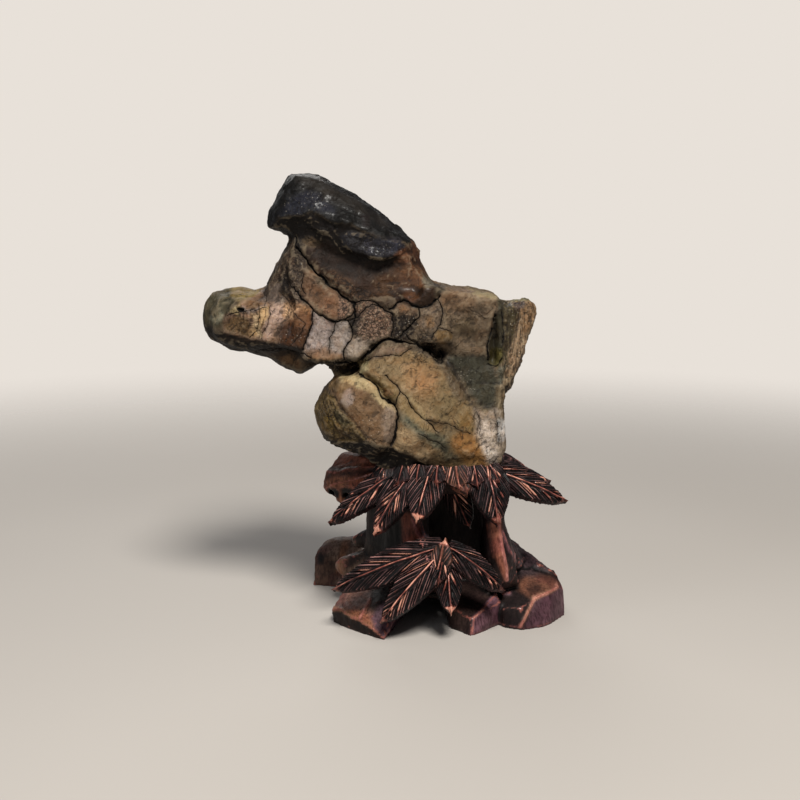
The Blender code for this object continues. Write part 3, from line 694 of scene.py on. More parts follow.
# %% Ledges
LEDGES = [
    # side, height, how far back the step fades out, line with the raised side on its left
    (NEAR, 1.4, 6.0, [(-70, 228), (-66, 232), (-58, 232), (-54, 233), (-48, 235), (-44, 233),
     (-39, 230.5), (-35, 229), (-28, 228.5), (-25, 227.5), (-21, 226), (-16, 224), (-11, 221.5),
     (-6, 220)]),
    (NEAR, 0.9, 4.0, [(3, 219), (-5, 220), (-11, 221), (-20, 225), (-28, 225), (-33, 222)]),
    (NEAR, 1.0, 4.0, [(-33, 218), (-31, 217), (-24, 213), (-17, 211), (-8, 209.5), (-1, 212),
     (3, 215), (9, 216)]),
    (NEAR, 0.6, 6.0, [(-60, 255), (-50, 250), (-43, 245), (-36, 240), (-28, 237), (-16, 231)]),
    (NEAR, 0.9, 6.0, [(-108, 168), (-98, 168.5), (-91, 168), (-85, 166), (-78, 165), (-71, 163.5),
     (-64, 162.5), (-53, 161)]),
    (NEAR, 0.7, 4.0, [(-98, 194), (-96, 189), (-92, 187), (-95, 183.5), (-90, 181)]),
    (NEAR, 0.6, 3.0, [(-76, 188), (-82, 184), (-88, 183.5)]),
    (NEAR, 0.6, 3.0, [(-96, 179), (-88, 180.5), (-80, 181), (-74.5, 183)]),
    (NEAR, 0.8, 3.0, [(-73, 184), (-73.5, 178), (-76, 172), (-79, 168)]),
    (NEAR, 1.2, 7.0, [(-52, 184), (-58, 181), (-61, 177), (-64, 174), (-66.5, 169), (-67, 163)]),
    (NEAR, 0.7, 3.0, [(-2.5, 127), (-6.5, 133), (-11, 138), (-22, 148), (-32, 146)]),
    (NEAR, 0.5, 3.0, [(-4, 125), (-9, 131), (-16, 136.5), (-26, 142), (-33, 144)]),
    (NEAR, 1.5, 5.0, [(-5.5, 109), (-18.5, 113), (-23, 117), (-27.5, 123), (-32.5, 128.5),
     (-36.5, 133.5), (-41.5, 136)]),
    (NEAR, 1.0, 5.0, [(4, 104), (-5, 108), (-18.5, 111.5), (-33, 110), (-43, 108)]),
    (NEAR, 0.8, 3.0, [(-33, 118), (-36, 123), (-36, 129), (-40, 134)]),
    (NEAR, 1.0, 3.0, [(69, 190), (68, 177), (65, 165), (64, 153), (60, 142)]),
    (NEAR, 0.8, 2.5, [(76, 192), (75, 180), (72, 168), (69, 154)]),
    (NEAR, 0.7, 2.5, [(63, 190), (62, 178), (60.5, 166), (60, 154)]),
    (NEAR, 0.4, 4.0, [(49, 97), (46, 107), (43.5, 114), (42, 124), (47, 128), (53, 126)]),
    (NEAR, 0.5, 8.0, [(34, 96), (24, 104), (14, 112), (4, 122), (-1, 132)]),
    (NEAR, 0.6, 3.0, [(21.5, 115), (18.5, 118.5), (13.5, 121.5), (10, 124.5), (6, 129), (3, 135)]),
    (NEAR, 0.8, 4.0, [(8, 99), (-2, 102), (-8, 104)]),
    (NEAR, 0.7, 5.0, [(56, 189), (49, 188.5), (44, 188), (39, 190)]),
    (NEAR, 0.7, 3.0, [(52, 190), (53, 184), (53, 178)]),
    (NEAR, 0.6, 5.0, [(26, 157), (32, 147), (37, 137), (42, 128)]),
    (FAR, 1.2, 6.0, [(20, 216), (4, 214), (-14, 218), (-30, 226), (-46, 230), (-70, 224)]),
    (FAR, 1.0, 6.0, [(-54, 161), (-75, 164), (-92, 168), (-108, 174)]),
    (FAR, 1.0, 5.0, [(14, 196), (22, 180), (18, 160), (28, 146), (40, 134)]),
    (FAR, 1.0, 5.0, [(-40, 150), (-36, 134), (-22, 120), (-12, 106)]),
    (FAR, 0.9, 3.0, [(70, 190), (68, 176), (66, 160), (60, 140)]),
    (FAR, 0.9, 5.0, [(40, 92), (46, 108), (58, 118)]),
]
print(len(LEDGES), "ledges")

# %% [markdown]
# The relief is built from coarse to fine, as stone weathers: broad swells, flat chips, the grain
# of each zone, a fine roughness, and the ledges. Each adds to one and the same height, so that the
# points only have to move once. A row that is meant for one side fades out over the middle.

# %% Grain and ledges
BROAD = [(17.0, 0.5), (7.0, 0.22)]
CHIPPED = [(14.0, 1.2), (5.0, 0.45)]
FINE = [(2.6, 0.12), (1.3, 0.06)]
TURNS_OVER = (-9.0, 4.0)
LEDGE_FOOT = 0.25


def side_share(points, side):
    """1 on the side meant, 0 on the other, and a soft change over the middle of the stone."""
    return np.ones(len(points)) if side == BOTH else step(*TURNS_OVER, points[:, 1] * side)


def along_run(points, direction, sizes):
    """Points turned to run along a direction seen from the front, and divided by grain sizes."""
    angle = math.radians(direction)
    x, y, z = points.T
    along = x * math.cos(angle) + z * math.sin(angle)
    across = z * math.cos(angle) - x * math.sin(angle)
    return np.stack([across / sizes[0], y / (2.0 * sizes[0]), along / sizes[1]], axis=1)


def add_grain(height, relief, flat):
    """Adds all but the ledges to the height, and returns how rough each point is."""
    for size, reach in BROAD:
        height += reach * relief.noise(clouds, size)
    for size, reach in CHIPPED:
        height += reach * relief.noise(chips, size)
    rough = np.zeros(relief.count)
    for side, outline, soft, sizes, direction, reach in ZONES:
        share = step(-soft, soft, inside(flat, outline)) * side_share(relief.points, side)
        chosen = share > 0.0
        grain = crags(along_run(relief.points[chosen], direction, sizes))
        height[chosen] += share[chosen] * reach * grain
        rough = np.maximum(rough, share * min(1.0, reach))
    for size, reach in FINE:
        height += reach * (1.0 + 2.0 * rough) * relief.noise(crags, size)
    return rough


def add_ledges(height, relief, flat):
    """Adds each ledge: sharp on its right, fading out on its left, with a dip at its foot."""
    for side, rise, fade, line in LEDGES:
        left, share = beside(flat, line)
        share = share * rise * side_share(relief.points, side)
        raised = step(-0.5, 0.5, left) * np.exp(-np.maximum(left, 0.0) / fade)
        height += share * (raised - LEDGE_FOOT * np.exp(-((left + 1.0) ** 2)))


print("grain from", BROAD[0][0], "mm down to", FINE[-1][0], "mm")

# %% [markdown]
# The fissures are cut last, into all the rest. The same step paints what the finish needs to know:
# where the fissures are, where dirt gathers round them, which parts face down and get painted
# shade, and which edges stand proud or sink in. The gap above the belly holds rubble that catches
# some light, so its painted shade is kept from going black.

# %% Texture of the stone
GRIME_REACH = 1.8
FACES_DOWN = (0.10, 0.65)
FACING_PASSES = 6
EDGE_PASSES, EDGE_HEIGHT = 4, 0.20
RUBBLE = [(0, 168), (14, 166), (24, 166), (29, 158), (24, 151), (18, 154), (6, 160)]
RUBBLE_LIGHT, RUBBLE_SOFT = 0.85, 1.5


def texture_stone(relief):
    """Grain, ledges and fissures in one move, and then the paint that tells where they are."""
    height = np.zeros(relief.count)
    flat = wandering(relief.points)
    rough = add_grain(height, relief, flat)
    add_ledges(height, relief, flat)
    share, cut, away = fissures_at(relief.points, relief.facing)
    relief.raise_by(height - cut)
    relief.paint("fissure", 1.0 - np.clip(share, 0.0, 1.0))
    relief.paint("grime", np.exp(-((away / GRIME_REACH) ** 2)))
    relief.paint("rough", rough)
    # Faces turned down get a mask for painted shade, weaker in the rubble above the belly.
    under = step(*FACES_DOWN, -relief.averaged(relief.facing, FACING_PASSES)[:, 2])
    near = side_share(relief.points, NEAR)
    in_rubble = step(-RUBBLE_SOFT, RUBBLE_SOFT, inside(flat, RUBBLE))
    under *= 1.0 - RUBBLE_LIGHT * near * in_rubble
    relief.paint("under", under)
    # Proud edges are later painted paler, as worn stone, and sunken creases darker, as shade.
    relief.paint("edge", np.clip(relief.bulge(EDGE_PASSES) / EDGE_HEIGHT, -1.0, 1.0))


stone_relief = Relief(stone)
texture_stone(stone_relief)
print("stone:", len(stone.data.polygons), "faces,", stone_relief.count, "points")

# %% [markdown]
# ## The stone: its colours
#
# The colours come from what each block is made of: charcoal slate for the cap, rust under it, gold
# and lilac bands on the snout, ochre on the belly, a pale crust low on the right. They are painted
# one over the other, as a painter lays in an underpainting, each in an outline with a soft edge.
# The finish then breaks them up with mottling, grains and veins.

# %% Colours of the right block and the neck
PATCHES = [
    # side, colour, strength, soft edge, outline
    (NEAR, (114, 98, 80), 1.0, 2, [(22, 194), (60, 194), (54, 177), (49, 160), (49, 150),
     (26, 150), (24, 164), (22, 174)]),
    (NEAR, (124, 98, 74), 0.7, 3, [(24, 193), (38, 194), (42, 188), (38, 182), (28, 180),
     (23, 184)]),
    (NEAR, (98, 84, 64), 0.8, 3, [(29, 175), (38, 178), (43, 171), (38, 166), (29, 169)]),
    # Painted highlight: the lit top edge of the right block.
    (NEAR, (150, 136, 104), 0.9, 1.2, [(39, 193), (50, 196), (58, 194), (57, 188), (49, 188.5),
     (44, 189)]),
    (NEAR, (50, 34, 24), 1.0, 2, [(-56, 212), (-46, 204), (-36, 194), (-24, 188), (-6, 184),
     (22, 191), (22, 204), (12, 212), (-20, 214), (-44, 220)]),
    (NEAR, (40, 30, 24), 0.9, 3, [(-50, 212), (-40, 203), (-28, 200), (-10, 200), (-4, 208),
     (-24, 211), (-40, 219)]),
    (NEAR, (84, 60, 40), 0.8, 2, [(-44, 201), (-36, 204), (-28, 198), (-22, 192), (-16, 192),
     (-14, 188), (-24, 187.5), (-30, 190), (-37, 195)]),
    (NEAR, (100, 68, 44), 0.95, 2.5, [(-2, 204), (8, 208), (14, 202), (16, 196), (9, 192),
     (2, 192), (-3, 197)]),
    (NEAR, (78, 54, 34), 0.7, 3, [(-14, 200), (-4, 204), (0, 194), (-8, 188), (-14, 190)]),
    (NEAR, (50, 34, 22), 1.0, 1.2, [(0, 190), (9, 193), (20, 194), (20, 188), (18, 186), (14, 184),
     (9, 184), (3, 187)]),
    (NEAR, (92, 60, 38), 0.8, 1, [(2, 192.5), (11, 193), (11, 189), (6.5, 187.5), (2.5, 189)]),
    (NEAR, (112, 104, 90), 1.0, 0.8, [(12, 202), (17, 199), (20, 195.5), (15, 195), (13, 197)]),
    (NEAR, (60, 52, 40), 1.0, 1, [(19, 195), (24.5, 195), (24.5, 192), (22, 189), (19, 191)]),
    (NEAR, (84, 70, 58), 1.0, 1.2, [(-62, 222), (-58, 221), (-55, 212), (-50, 206), (-54, 196),
     (-62, 194), (-76, 194), (-76, 204)]),
    (NEAR, (38, 38, 42), 0.95, 1.2, [(-59, 223), (-54, 222), (-53, 216), (-55.5, 212.5),
     (-58, 218)]),
    (NEAR, (44, 38, 34), 0.95, 1.5, [(-68, 200), (-62, 202), (-60, 198), (-62, 192), (-67, 191),
     (-69, 195)]),
    (NEAR, (120, 104, 92), 1.0, 1, [(-62, 196), (-57, 194), (-52, 188), (-53, 185), (-58, 186),
     (-62, 189)]),
]
print(len(PATCHES), "patches so far")

# %% [markdown]
# The snout carries the stone's brightest colours. It is grey-olive at the tip, then banded in
# cream, gold, lilac and rust, with two thin streaks of painted highlight. Its lower side is
# painted nearly black as shade.

# %% Colours of the snout
PATCHES += [
    (NEAR, (142, 114, 94), 1.0, 1.5, [(-98, 178), (-78, 194), (-60, 188), (-50, 184), (-53, 160),
     (-66, 160), (-98, 168)]),
    (NEAR, (82, 76, 58), 1.0, 1.2, [(-108, 194), (-97, 194), (-92, 187), (-95.5, 183.5),
     (-89, 181), (-98, 179), (-98, 174.5), (-104, 171), (-116, 172), (-116, 186)]),
    (NEAR, (120, 116, 98), 0.6, 1.5, [(-107, 178), (-100, 183), (-98, 178), (-105, 172)]),
    (NEAR, (126, 108, 64), 1.0, 1.2, [(-97, 193), (-90, 197), (-80, 195), (-79, 191), (-83.5, 188),
     (-90, 185.5), (-93, 188)]),
    (NEAR, (120, 106, 96), 1.0, 1.2, [(-80, 193), (-68, 197), (-67, 191), (-62.5, 187), (-66, 185),
     (-75, 186), (-77, 190)]),
    (NEAR, (110, 82, 56), 0.9, 1, [(-85, 188), (-78, 190), (-76, 188.5), (-77, 185), (-82, 183),
     (-86, 184)]),
    (NEAR, (166, 148, 138), 1.0, 0.8, [(-88, 183.5), (-81, 182.5), (-75, 184.5), (-74.5, 183),
     (-80, 181), (-87, 181.2)]),
    (NEAR, (176, 158, 118), 1.0, 0.8, [(-93.5, 183.5), (-89, 185), (-88.5, 181.5), (-89, 178.5),
     (-92, 179.5), (-95, 181)]),
    (NEAR, (40, 26, 14), 1.0, 0.6, [(-90, 182.5), (-87, 182.7), (-86.6, 181), (-89.5, 180.8)]),
    (NEAR, (100, 78, 52), 1.0, 1.2, [(-98, 175), (-94, 177), (-89, 178.5), (-84.5, 179),
     (-83, 174), (-85, 168), (-92, 169.5), (-97, 171)]),
    (NEAR, (200, 165, 120), 1.0, 1.2, [(-78, 183), (-73.5, 183.5), (-73, 178), (-76, 172.5),
     (-79.5, 168), (-84.5, 167.5), (-83, 172.5), (-80, 176.5)]),
    (NEAR, (188, 160, 144), 1.0, 1.5, [(-72.5, 185), (-65, 185), (-63.5, 178), (-66, 174),
     (-70, 170.5), (-73.5, 166), (-78.5, 166.5), (-75, 173), (-72.5, 179)]),
    (NEAR, (184, 146, 112), 1.0, 1.5, [(-65, 185), (-60, 186), (-54, 185), (-49, 183.5),
     (-51, 182), (-58, 180.5), (-60, 177), (-64, 177)]),
    (NEAR, (118, 84, 58), 1.0, 1.5, [(-54, 183.5), (-47.5, 182), (-47, 176), (-49, 173),
     (-54.5, 171), (-60, 169.5), (-63, 172.5), (-59, 178)]),
    # Painted highlights: two thin cream streaks where the snout catches the light.
    (NEAR, (208, 182, 144), 0.9, 1.0, [(-82, 181), (-79, 179), (-75.5, 167.5), (-77.5, 166.5),
     (-81.5, 174)]),
    (NEAR, (214, 178, 140), 0.9, 1.0, [(-64.5, 185), (-60.5, 181), (-58, 177), (-62.5, 178.5)]),
    (NEAR, (148, 146, 126), 0.8, 1.2, [(-108.5, 177), (-99, 180), (-98, 177), (-103, 174)]),
    (NEAR, (84, 56, 36), 1.0, 2, [(-64, 174), (-59, 175), (-53, 172), (-49.5, 171), (-51, 165),
     (-53.5, 161), (-61, 160), (-67, 162), (-67, 168)]),
    (NEAR, (170, 128, 90), 0.9, 0.8, [(-54, 183.8), (-48, 182.4), (-47.6, 179.5), (-51, 181)]),
    # Painted shade: the lower side of the snout, nearly black.
    (NEAR, (30, 20, 13), 1.0, 1.5, [(-113, 174), (-104, 171), (-98, 169), (-91, 168), (-85, 165.5),
     (-78, 165.5), (-72, 164), (-64, 162.5), (-53, 161), (-54, 156), (-80, 155), (-118, 158)]),
]
print(len(PATCHES), "patches so far")

# %% [markdown]
# The middle is a quilt of small blocks between fissures. Some are brown, two are lilac with a warm
# foot, and the smallest ones towards the belly are dark crusts with an ochre heart.

# %% Colours of the quilted middle
PATCHES += [
    (NEAR, (108, 82, 62), 1.0, 1, [(-55, 199), (-52, 203), (-48, 203), (-41, 198), (-36, 193.5),
     (-28, 188), (-24.5, 186), (-25, 179), (-30, 177), (-36.5, 176.5), (-44.5, 180), (-51, 186),
     (-54, 190)]),
    (NEAR, (92, 66, 44), 0.9, 1.5, [(-49, 191), (-44, 194), (-40, 191), (-43, 186), (-48, 184.5)]),
    (NEAR, (84, 74, 60), 0.9, 1, [(-49, 201), (-42, 199), (-36, 194), (-41, 194), (-45.5, 196)]),
    (NEAR, (124, 92, 68), 0.8, 2, [(-41, 190), (-32, 188.5), (-29, 183), (-34, 179), (-40, 180),
     (-43, 185)]),
    (NEAR, (166, 152, 146), 1.0, 0.8, [(-47.5, 181.5), (-43.5, 178.5), (-36, 175.5), (-38, 168.5),
     (-39.5, 162), (-39, 157), (-54, 157), (-52, 165.5), (-48.5, 174.5)]),
    (NEAR, (166, 154, 146), 1.0, 0.8, [(-36, 176), (-28, 176), (-26.5, 170), (-28.5, 164.5),
     (-31, 157), (-39, 157), (-39.5, 162), (-38, 168.5)]),
    (NEAR, (158, 144, 130), 1.0, 0.8, [(-28, 174), (-25, 168.5), (-19, 168), (-12, 166),
     (-16, 160), (-22, 155), (-30, 156), (-28, 163.5)]),
    (NEAR, (136, 102, 70), 0.8, 1.5, [(-53, 161), (-47, 160.5), (-40, 161), (-32, 158.5),
     (-31, 155), (-52, 155)]),
    (NEAR, (140, 112, 94), 1.0, 1, [(-33, 189.5), (-25, 187), (-25, 178), (-29, 177), (-33, 177)]),
    (NEAR, (146, 120, 102), 1.0, 1, [(-24.5, 187), (-18.5, 188), (-13, 186), (-8, 183),
     (-4.5, 180), (-4, 168), (-11, 165), (-20, 167), (-25, 171), (-25, 178)]),
    (NEAR, (150, 122, 104), 0.7, 1, [(-20, 178), (-15, 182), (-8, 181), (-5, 175), (-8, 171),
     (-16, 171)]),
    (NEAR, (56, 50, 48), 0.9, 1, [(-29, 177), (-24.5, 181), (-21, 179), (-23, 170), (-27, 171)]),
    (NEAR, (112, 92, 74), 1.0, 0.8, [(-5, 184), (0, 186.5), (5.5, 186), (10.5, 182.5), (9, 178.5),
     (2, 179), (-3, 180.5)]),
    (NEAR, (126, 90, 58), 0.9, 1, [(-2, 183.5), (2, 185), (6, 183), (3.5, 181), (-1, 181.5)]),
    (NEAR, (58, 48, 40), 1.0, 0.8, [(-4.5, 178.5), (2, 179), (9, 178.5), (9.5, 174.5), (6, 169),
     (4, 166), (-4, 168)]),
    (NEAR, (118, 102, 86), 1.0, 0.8, [(11, 182), (16.5, 185), (21, 187), (22.5, 182), (22, 176),
     (18.5, 172), (13.5, 171), (10.5, 174.5)]),
    (NEAR, (144, 110, 74), 0.8, 1, [(14, 179), (18, 180), (18.5, 174), (15, 173)]),
    (NEAR, (94, 80, 64), 1.0, 1, [(7, 170), (13, 171), (18, 171), (22, 163), (24, 158), (20, 158),
     (14, 162)]),
    (NEAR, (120, 96, 64), 1.0, 0.8, [(17.5, 169), (20, 172), (25, 172), (29, 168), (26.5, 164),
     (24, 163), (20, 165)]),
    (NEAR, (18, 16, 14), 0.9, 0.8, [(21, 158), (24, 160), (25.5, 157.5), (25, 153), (22.5, 152),
     (20.5, 155)]),
]
print(len(PATCHES), "patches so far")

# %% [markdown]
# The right end is slate grey below, with a dark upright slot that is greenish at its foot. The
# thin wing beyond the slot is brown and layered, and paler where a layer has come off.

# %% Colours of the slate, the slot and the wing
PATCHES += [
    (BOTH, (142, 122, 97), 1.0, 1.2, [(58, 194), (86, 194), (80, 158), (70, 134), (58, 132),
     (58, 160)]),
    (NEAR, (62, 61, 52), 1.0, 2, [(26, 157), (33, 157), (49, 157), (52, 150), (54, 140), (54, 129),
     (50, 127), (44, 131), (39, 137), (33, 145), (27, 152)]),
    (NEAR, (66, 62, 48), 1.0, 0.8, [(53, 180), (55, 194), (59.5, 194), (58.5, 177), (58, 157),
     (54.5, 151), (49, 152), (48.5, 164), (51, 172)]),
    (NEAR, (104, 96, 52), 0.9, 1.2, [(49.5, 158.5), (56.5, 160), (57, 154), (53.5, 151),
     (49, 151.5)]),
    (NEAR, (84, 76, 56), 1.0, 1, [(59, 187), (62.5, 185), (66.5, 181), (66, 173), (61.5, 162),
     (59, 148), (58, 157), (58, 173.5)]),
    (NEAR, (140, 114, 86), 1.0, 0.8, [(67, 181), (71, 185), (80, 186), (78, 171.5), (70.5, 167),
     (69, 174)]),
    (NEAR, (92, 78, 72), 1.0, 0.8, [(63.5, 185), (71, 184.5), (67, 181), (64, 183.5)]),
    (NEAR, (156, 132, 106), 1.0, 1, [(66.5, 175), (70.5, 166.5), (72, 158), (70, 148), (63, 144),
     (59.5, 148), (61.5, 162), (65, 171)]),
    (NEAR, (130, 122, 88), 1.0, 0.8, [(59, 189), (67.5, 191), (80, 192), (80, 186), (67, 185.5),
     (62, 185.8)]),
    (NEAR, (90, 88, 76), 1.0, 1.2, [(54.5, 151), (60, 151), (58, 143), (54, 139), (54, 147)]),
    (NEAR, (112, 98, 76), 1.0, 1.2, [(54, 140), (60, 141), (63, 130), (57, 127), (52.5, 129),
     (53, 135.5)]),
]
print(len(PATCHES), "patches so far")

# %% [markdown]
# The belly is one big smooth boulder of tan stone. Ochre warms it in the middle and low on the
# right, a grey-green seam runs down it slantwise, and a pale crust covers its lower right corner.

# %% Colours of the belly
PATCHES += [
    (NEAR, (144, 121, 88), 1.0, 1.5, [(-24, 154), (-19, 154.5), (-14, 157), (0, 158.5), (6, 161),
     (16, 157), (21, 152), (25, 144), (30, 134), (42, 127), (42, 118), (46, 107), (50, 94), (20,
     84), (-10, 88), (-4, 108), (-2, 118), (-2, 130), (-9, 134), (-17, 144.5), (-24, 148)]),
    (NEAR, (68, 66, 54), 0.9, 4, [(30, 156), (50, 156), (54, 130), (50, 127), (43, 132), (34, 144),
     (28, 151)]),
    (NEAR, (112, 98, 70), 0.6, 6, [(22, 146), (30, 136), (40, 126), (44, 116), (34, 112),
     (20, 122), (14, 136)]),
    (NEAR, (158, 122, 84), 0.9, 5, [(2.5, 154), (13.5, 152.5), (20, 147), (20, 137), (10, 135),
     (4.5, 141), (1.5, 147)]),
    (NEAR, (134, 114, 84), 0.8, 2, [(-15, 155), (-2.5, 155.5), (0, 147.5), (-1, 140.5),
     (-7.5, 145), (-14, 149.5)]),
    (NEAR, (190, 168, 126), 0.8, 1.0, [(2, 137), (4.5, 136.5), (15, 122.5), (13, 122)]),
    (NEAR, (104, 102, 80), 0.7, 2.5, [(-1, 136), (5, 128), (15, 118), (27, 108), (25, 104),
     (13, 113), (3, 123)]),
    (NEAR, (132, 108, 66), 0.6, 3, [(32, 121), (46, 126), (48, 119), (42, 111), (32, 114)]),
    (NEAR, (160, 148, 112), 0.9, 1, [(-24, 154), (-17.5, 156), (-16.5, 149.5), (-21, 147.5),
     (-25, 149)]),
    (NEAR, (124, 104, 64), 0.9, 1.5, [(-18.5, 147), (-11, 146), (-2, 140.5), (-0.5, 135.5),
     (-2.5, 131), (-9, 134.5), (-15.5, 143)]),
    (NEAR, (126, 84, 44), 0.8, 1, [(-9, 140), (-4.5, 140), (-4, 136.5), (-7.5, 136)]),
    (NEAR, (148, 124, 86), 0.8, 2, [(0, 137.5), (5.5, 131), (13.5, 122.5), (19, 117), (11, 116.5),
     (5.5, 124.5), (-1, 130)]),
    (NEAR, (90, 92, 78), 0.85, 2, [(-1.5, 128.5), (5.5, 124), (13.5, 116), (22, 113), (29, 107),
     (26, 102.5), (15.5, 108.5), (6.5, 114.5), (-1, 121)]),
    (NEAR, (84, 82, 66), 0.85, 2.5, [(20, 115), (28, 115), (31, 108), (34, 98), (26, 97),
     (23, 106), (19, 111)]),
    (NEAR, (92, 76, 52), 0.7, 2, [(13.5, 123), (25, 121), (37, 116), (33, 113), (22, 115)]),
    (NEAR, (140, 103, 60), 1.0, 3.0, [(28, 112), (36, 115), (43, 112), (47, 105), (52, 96),
     (50, 92), (36, 97), (30, 104)]),
    (NEAR, (126, 98, 58), 0.8, 2, [(32, 125), (42, 124), (41, 118), (35, 118)]),
    (NEAR, (188, 160, 123), 0.9, 3.5, [(-1, 119.5), (5.5, 115.5), (14, 108.5), (17, 98), (8, 99),
     (3, 103), (-3, 107)]),
    (NEAR, (172, 156, 138), 0.75, 3.5, [(43, 116), (48, 121), (57, 119), (60, 104), (56, 93),
     (52, 96), (47, 106)]),
    (NEAR, (210, 194, 179), 0.95, 3.0, [(42, 124), (47, 122), (54, 119), (56, 112), (55, 103),
     (54.5, 94), (49, 97), (46, 107), (43.5, 114)]),
    (NEAR, (220, 210, 200), 0.9, 1, [(47, 105), (53.5, 103), (55, 94), (49.5, 97)]),
    (NEAR, (204, 202, 200), 1.0, 1, [(54, 121), (59, 120), (63, 115), (61, 109), (56, 108),
     (54.5, 113)]),
    (NEAR, (160, 146, 132), 1.0, 1.5, [(41.5, 128), (48, 125), (53, 127), (57, 125), (54.5, 119),
     (47, 121), (43.5, 123)]),
]
print(len(PATCHES), "patches so far")

# %% [markdown]
# The paw is browner than the belly, cream along its upper rim and greenish on its left, with a
# painted highlight on its face. Its underside is painted nearly black as shade. The rubble behind
# the jaw is nearly black too.

# %% Colours of the paw and the jaw
PATCHES += [
    (NEAR, (122, 98, 74), 1.0, 1, [(-39, 144), (-28, 147), (-20, 146), (-9, 135), (-2, 128),
     (-1.5, 118), (-4.5, 107), (-18.5, 113), (-26, 122), (-32, 130), (-38, 136)]),
    (NEAR, (118, 92, 66), 0.8, 2.5, [(-26, 138), (-18, 136), (-12, 128), (-12, 118), (-20, 117),
     (-27, 126)]),
    (NEAR, (182, 162, 122), 1.0, 1, [(-36, 146), (-28, 147), (-20, 146.5), (-12.5, 140), (-7, 134),
     (-1.5, 129), (-3, 125.5), (-9, 131), (-16.5, 137), (-26, 142), (-33, 144)]),
    # Painted highlight on the middle of the paw's face.
    (NEAR, (156, 140, 130), 0.9, 1, [(-31, 138), (-26, 140.5), (-25, 135.5), (-28.5, 130.5),
     (-32.5, 133)]),
    (NEAR, (152, 134, 118), 0.8, 1.5, [(-8, 131), (-1.5, 127.5), (-2, 119), (-4.5, 108.5),
     (-9, 112.5), (-10, 120), (-10, 126)]),
    (NEAR, (124, 102, 70), 0.8, 1, [(-39, 143), (-33, 144), (-26, 141), (-33, 137.5), (-40, 138)]),
    (NEAR, (118, 98, 62), 1.0, 0.6, [(-41.5, 136), (-36.5, 134.5), (-32, 128), (-26, 121.5),
     (-18.5, 113), (-21, 110), (-33, 109), (-43, 108), (-52, 118), (-50, 134)]),
    (NEAR, (120, 98, 48), 0.9, 1, [(-44, 125), (-39, 125.5), (-35.5, 119), (-39, 115),
     (-42.5, 118)]),
    (NEAR, (98, 92, 66), 0.8, 1.2, [(-36, 129.5), (-28.5, 124.5), (-26, 120), (-31.5, 118),
     (-35.5, 122.5)]),
    # Painted shade: the underside of the paw, nearly black.
    (BOTH, (18, 13, 8), 1.0, 1.2, [(-46, 108), (-33, 109.5), (-18.5, 111.5), (-5.5, 107.5),
     (3, 103), (11, 96), (14, 88), (-20, 86), (-52, 96)]),
    (NEAR, (54, 44, 30), 1.0, 1.2, [(-50, 155.5), (-42, 155), (-31, 155.5), (-23, 155),
     (-24, 147.5), (-30, 146.5), (-37, 147), (-48, 149)]),
    (NEAR, (126, 106, 88), 1.0, 0.8, [(-15.5, 157.5), (-11, 162.5), (0, 163), (5.5, 161),
     (1, 158.7), (-8, 158.7), (-14, 157)]),
    (NEAR, (112, 86, 60), 1.0, 1.2, [(-80, 157), (-67, 158.5), (-58, 157), (-56, 152.5),
     (-56, 148), (-70, 150)]),
    (NEAR, (110, 98, 84), 0.9, 0.8, [(-55, 157.7), (-51, 156.7), (-49.5, 154), (-55, 152.5)]),
]
print(len(PATCHES), "patches so far")

# %% [markdown]
# The far side is painted in larger patches of the same colours, so that the stone belongs together
# from every angle.

# %% Colours of the far side
PATCHES += [
    (FAR, (104, 90, 70), 1.0, 4, [(-70, 214), (60, 200), (70, 84), (-60, 84), (-118, 160)]),
    (FAR, (124, 82, 52), 0.9, 6, [(-60, 212), (14, 208), (20, 192), (-10, 190), (-50, 196)]),
    (FAR, (150, 112, 72), 0.9, 8, [(-18, 146), (20, 150), (34, 130), (20, 100), (-14, 106)]),
    (FAR, (136, 124, 114), 0.8, 5, [(-46, 194), (-16, 190), (-22, 166), (-44, 160)]),
    (FAR, (74, 72, 66), 0.9, 7, [(14, 180), (50, 176), (58, 140), (30, 134), (12, 150)]),
    (FAR, (150, 110, 74), 0.7, 6, [(-100, 188), (-70, 190), (-62, 168), (-96, 166)]),
    (FAR, (152, 140, 128), 0.8, 5, [(36, 128), (64, 124), (62, 92), (40, 92)]),
    (FAR, (90, 88, 72), 0.7, 6, [(-40, 128), (-10, 134), (-6, 104), (-36, 100)]),
]
print(len(PATCHES), "patches so far")
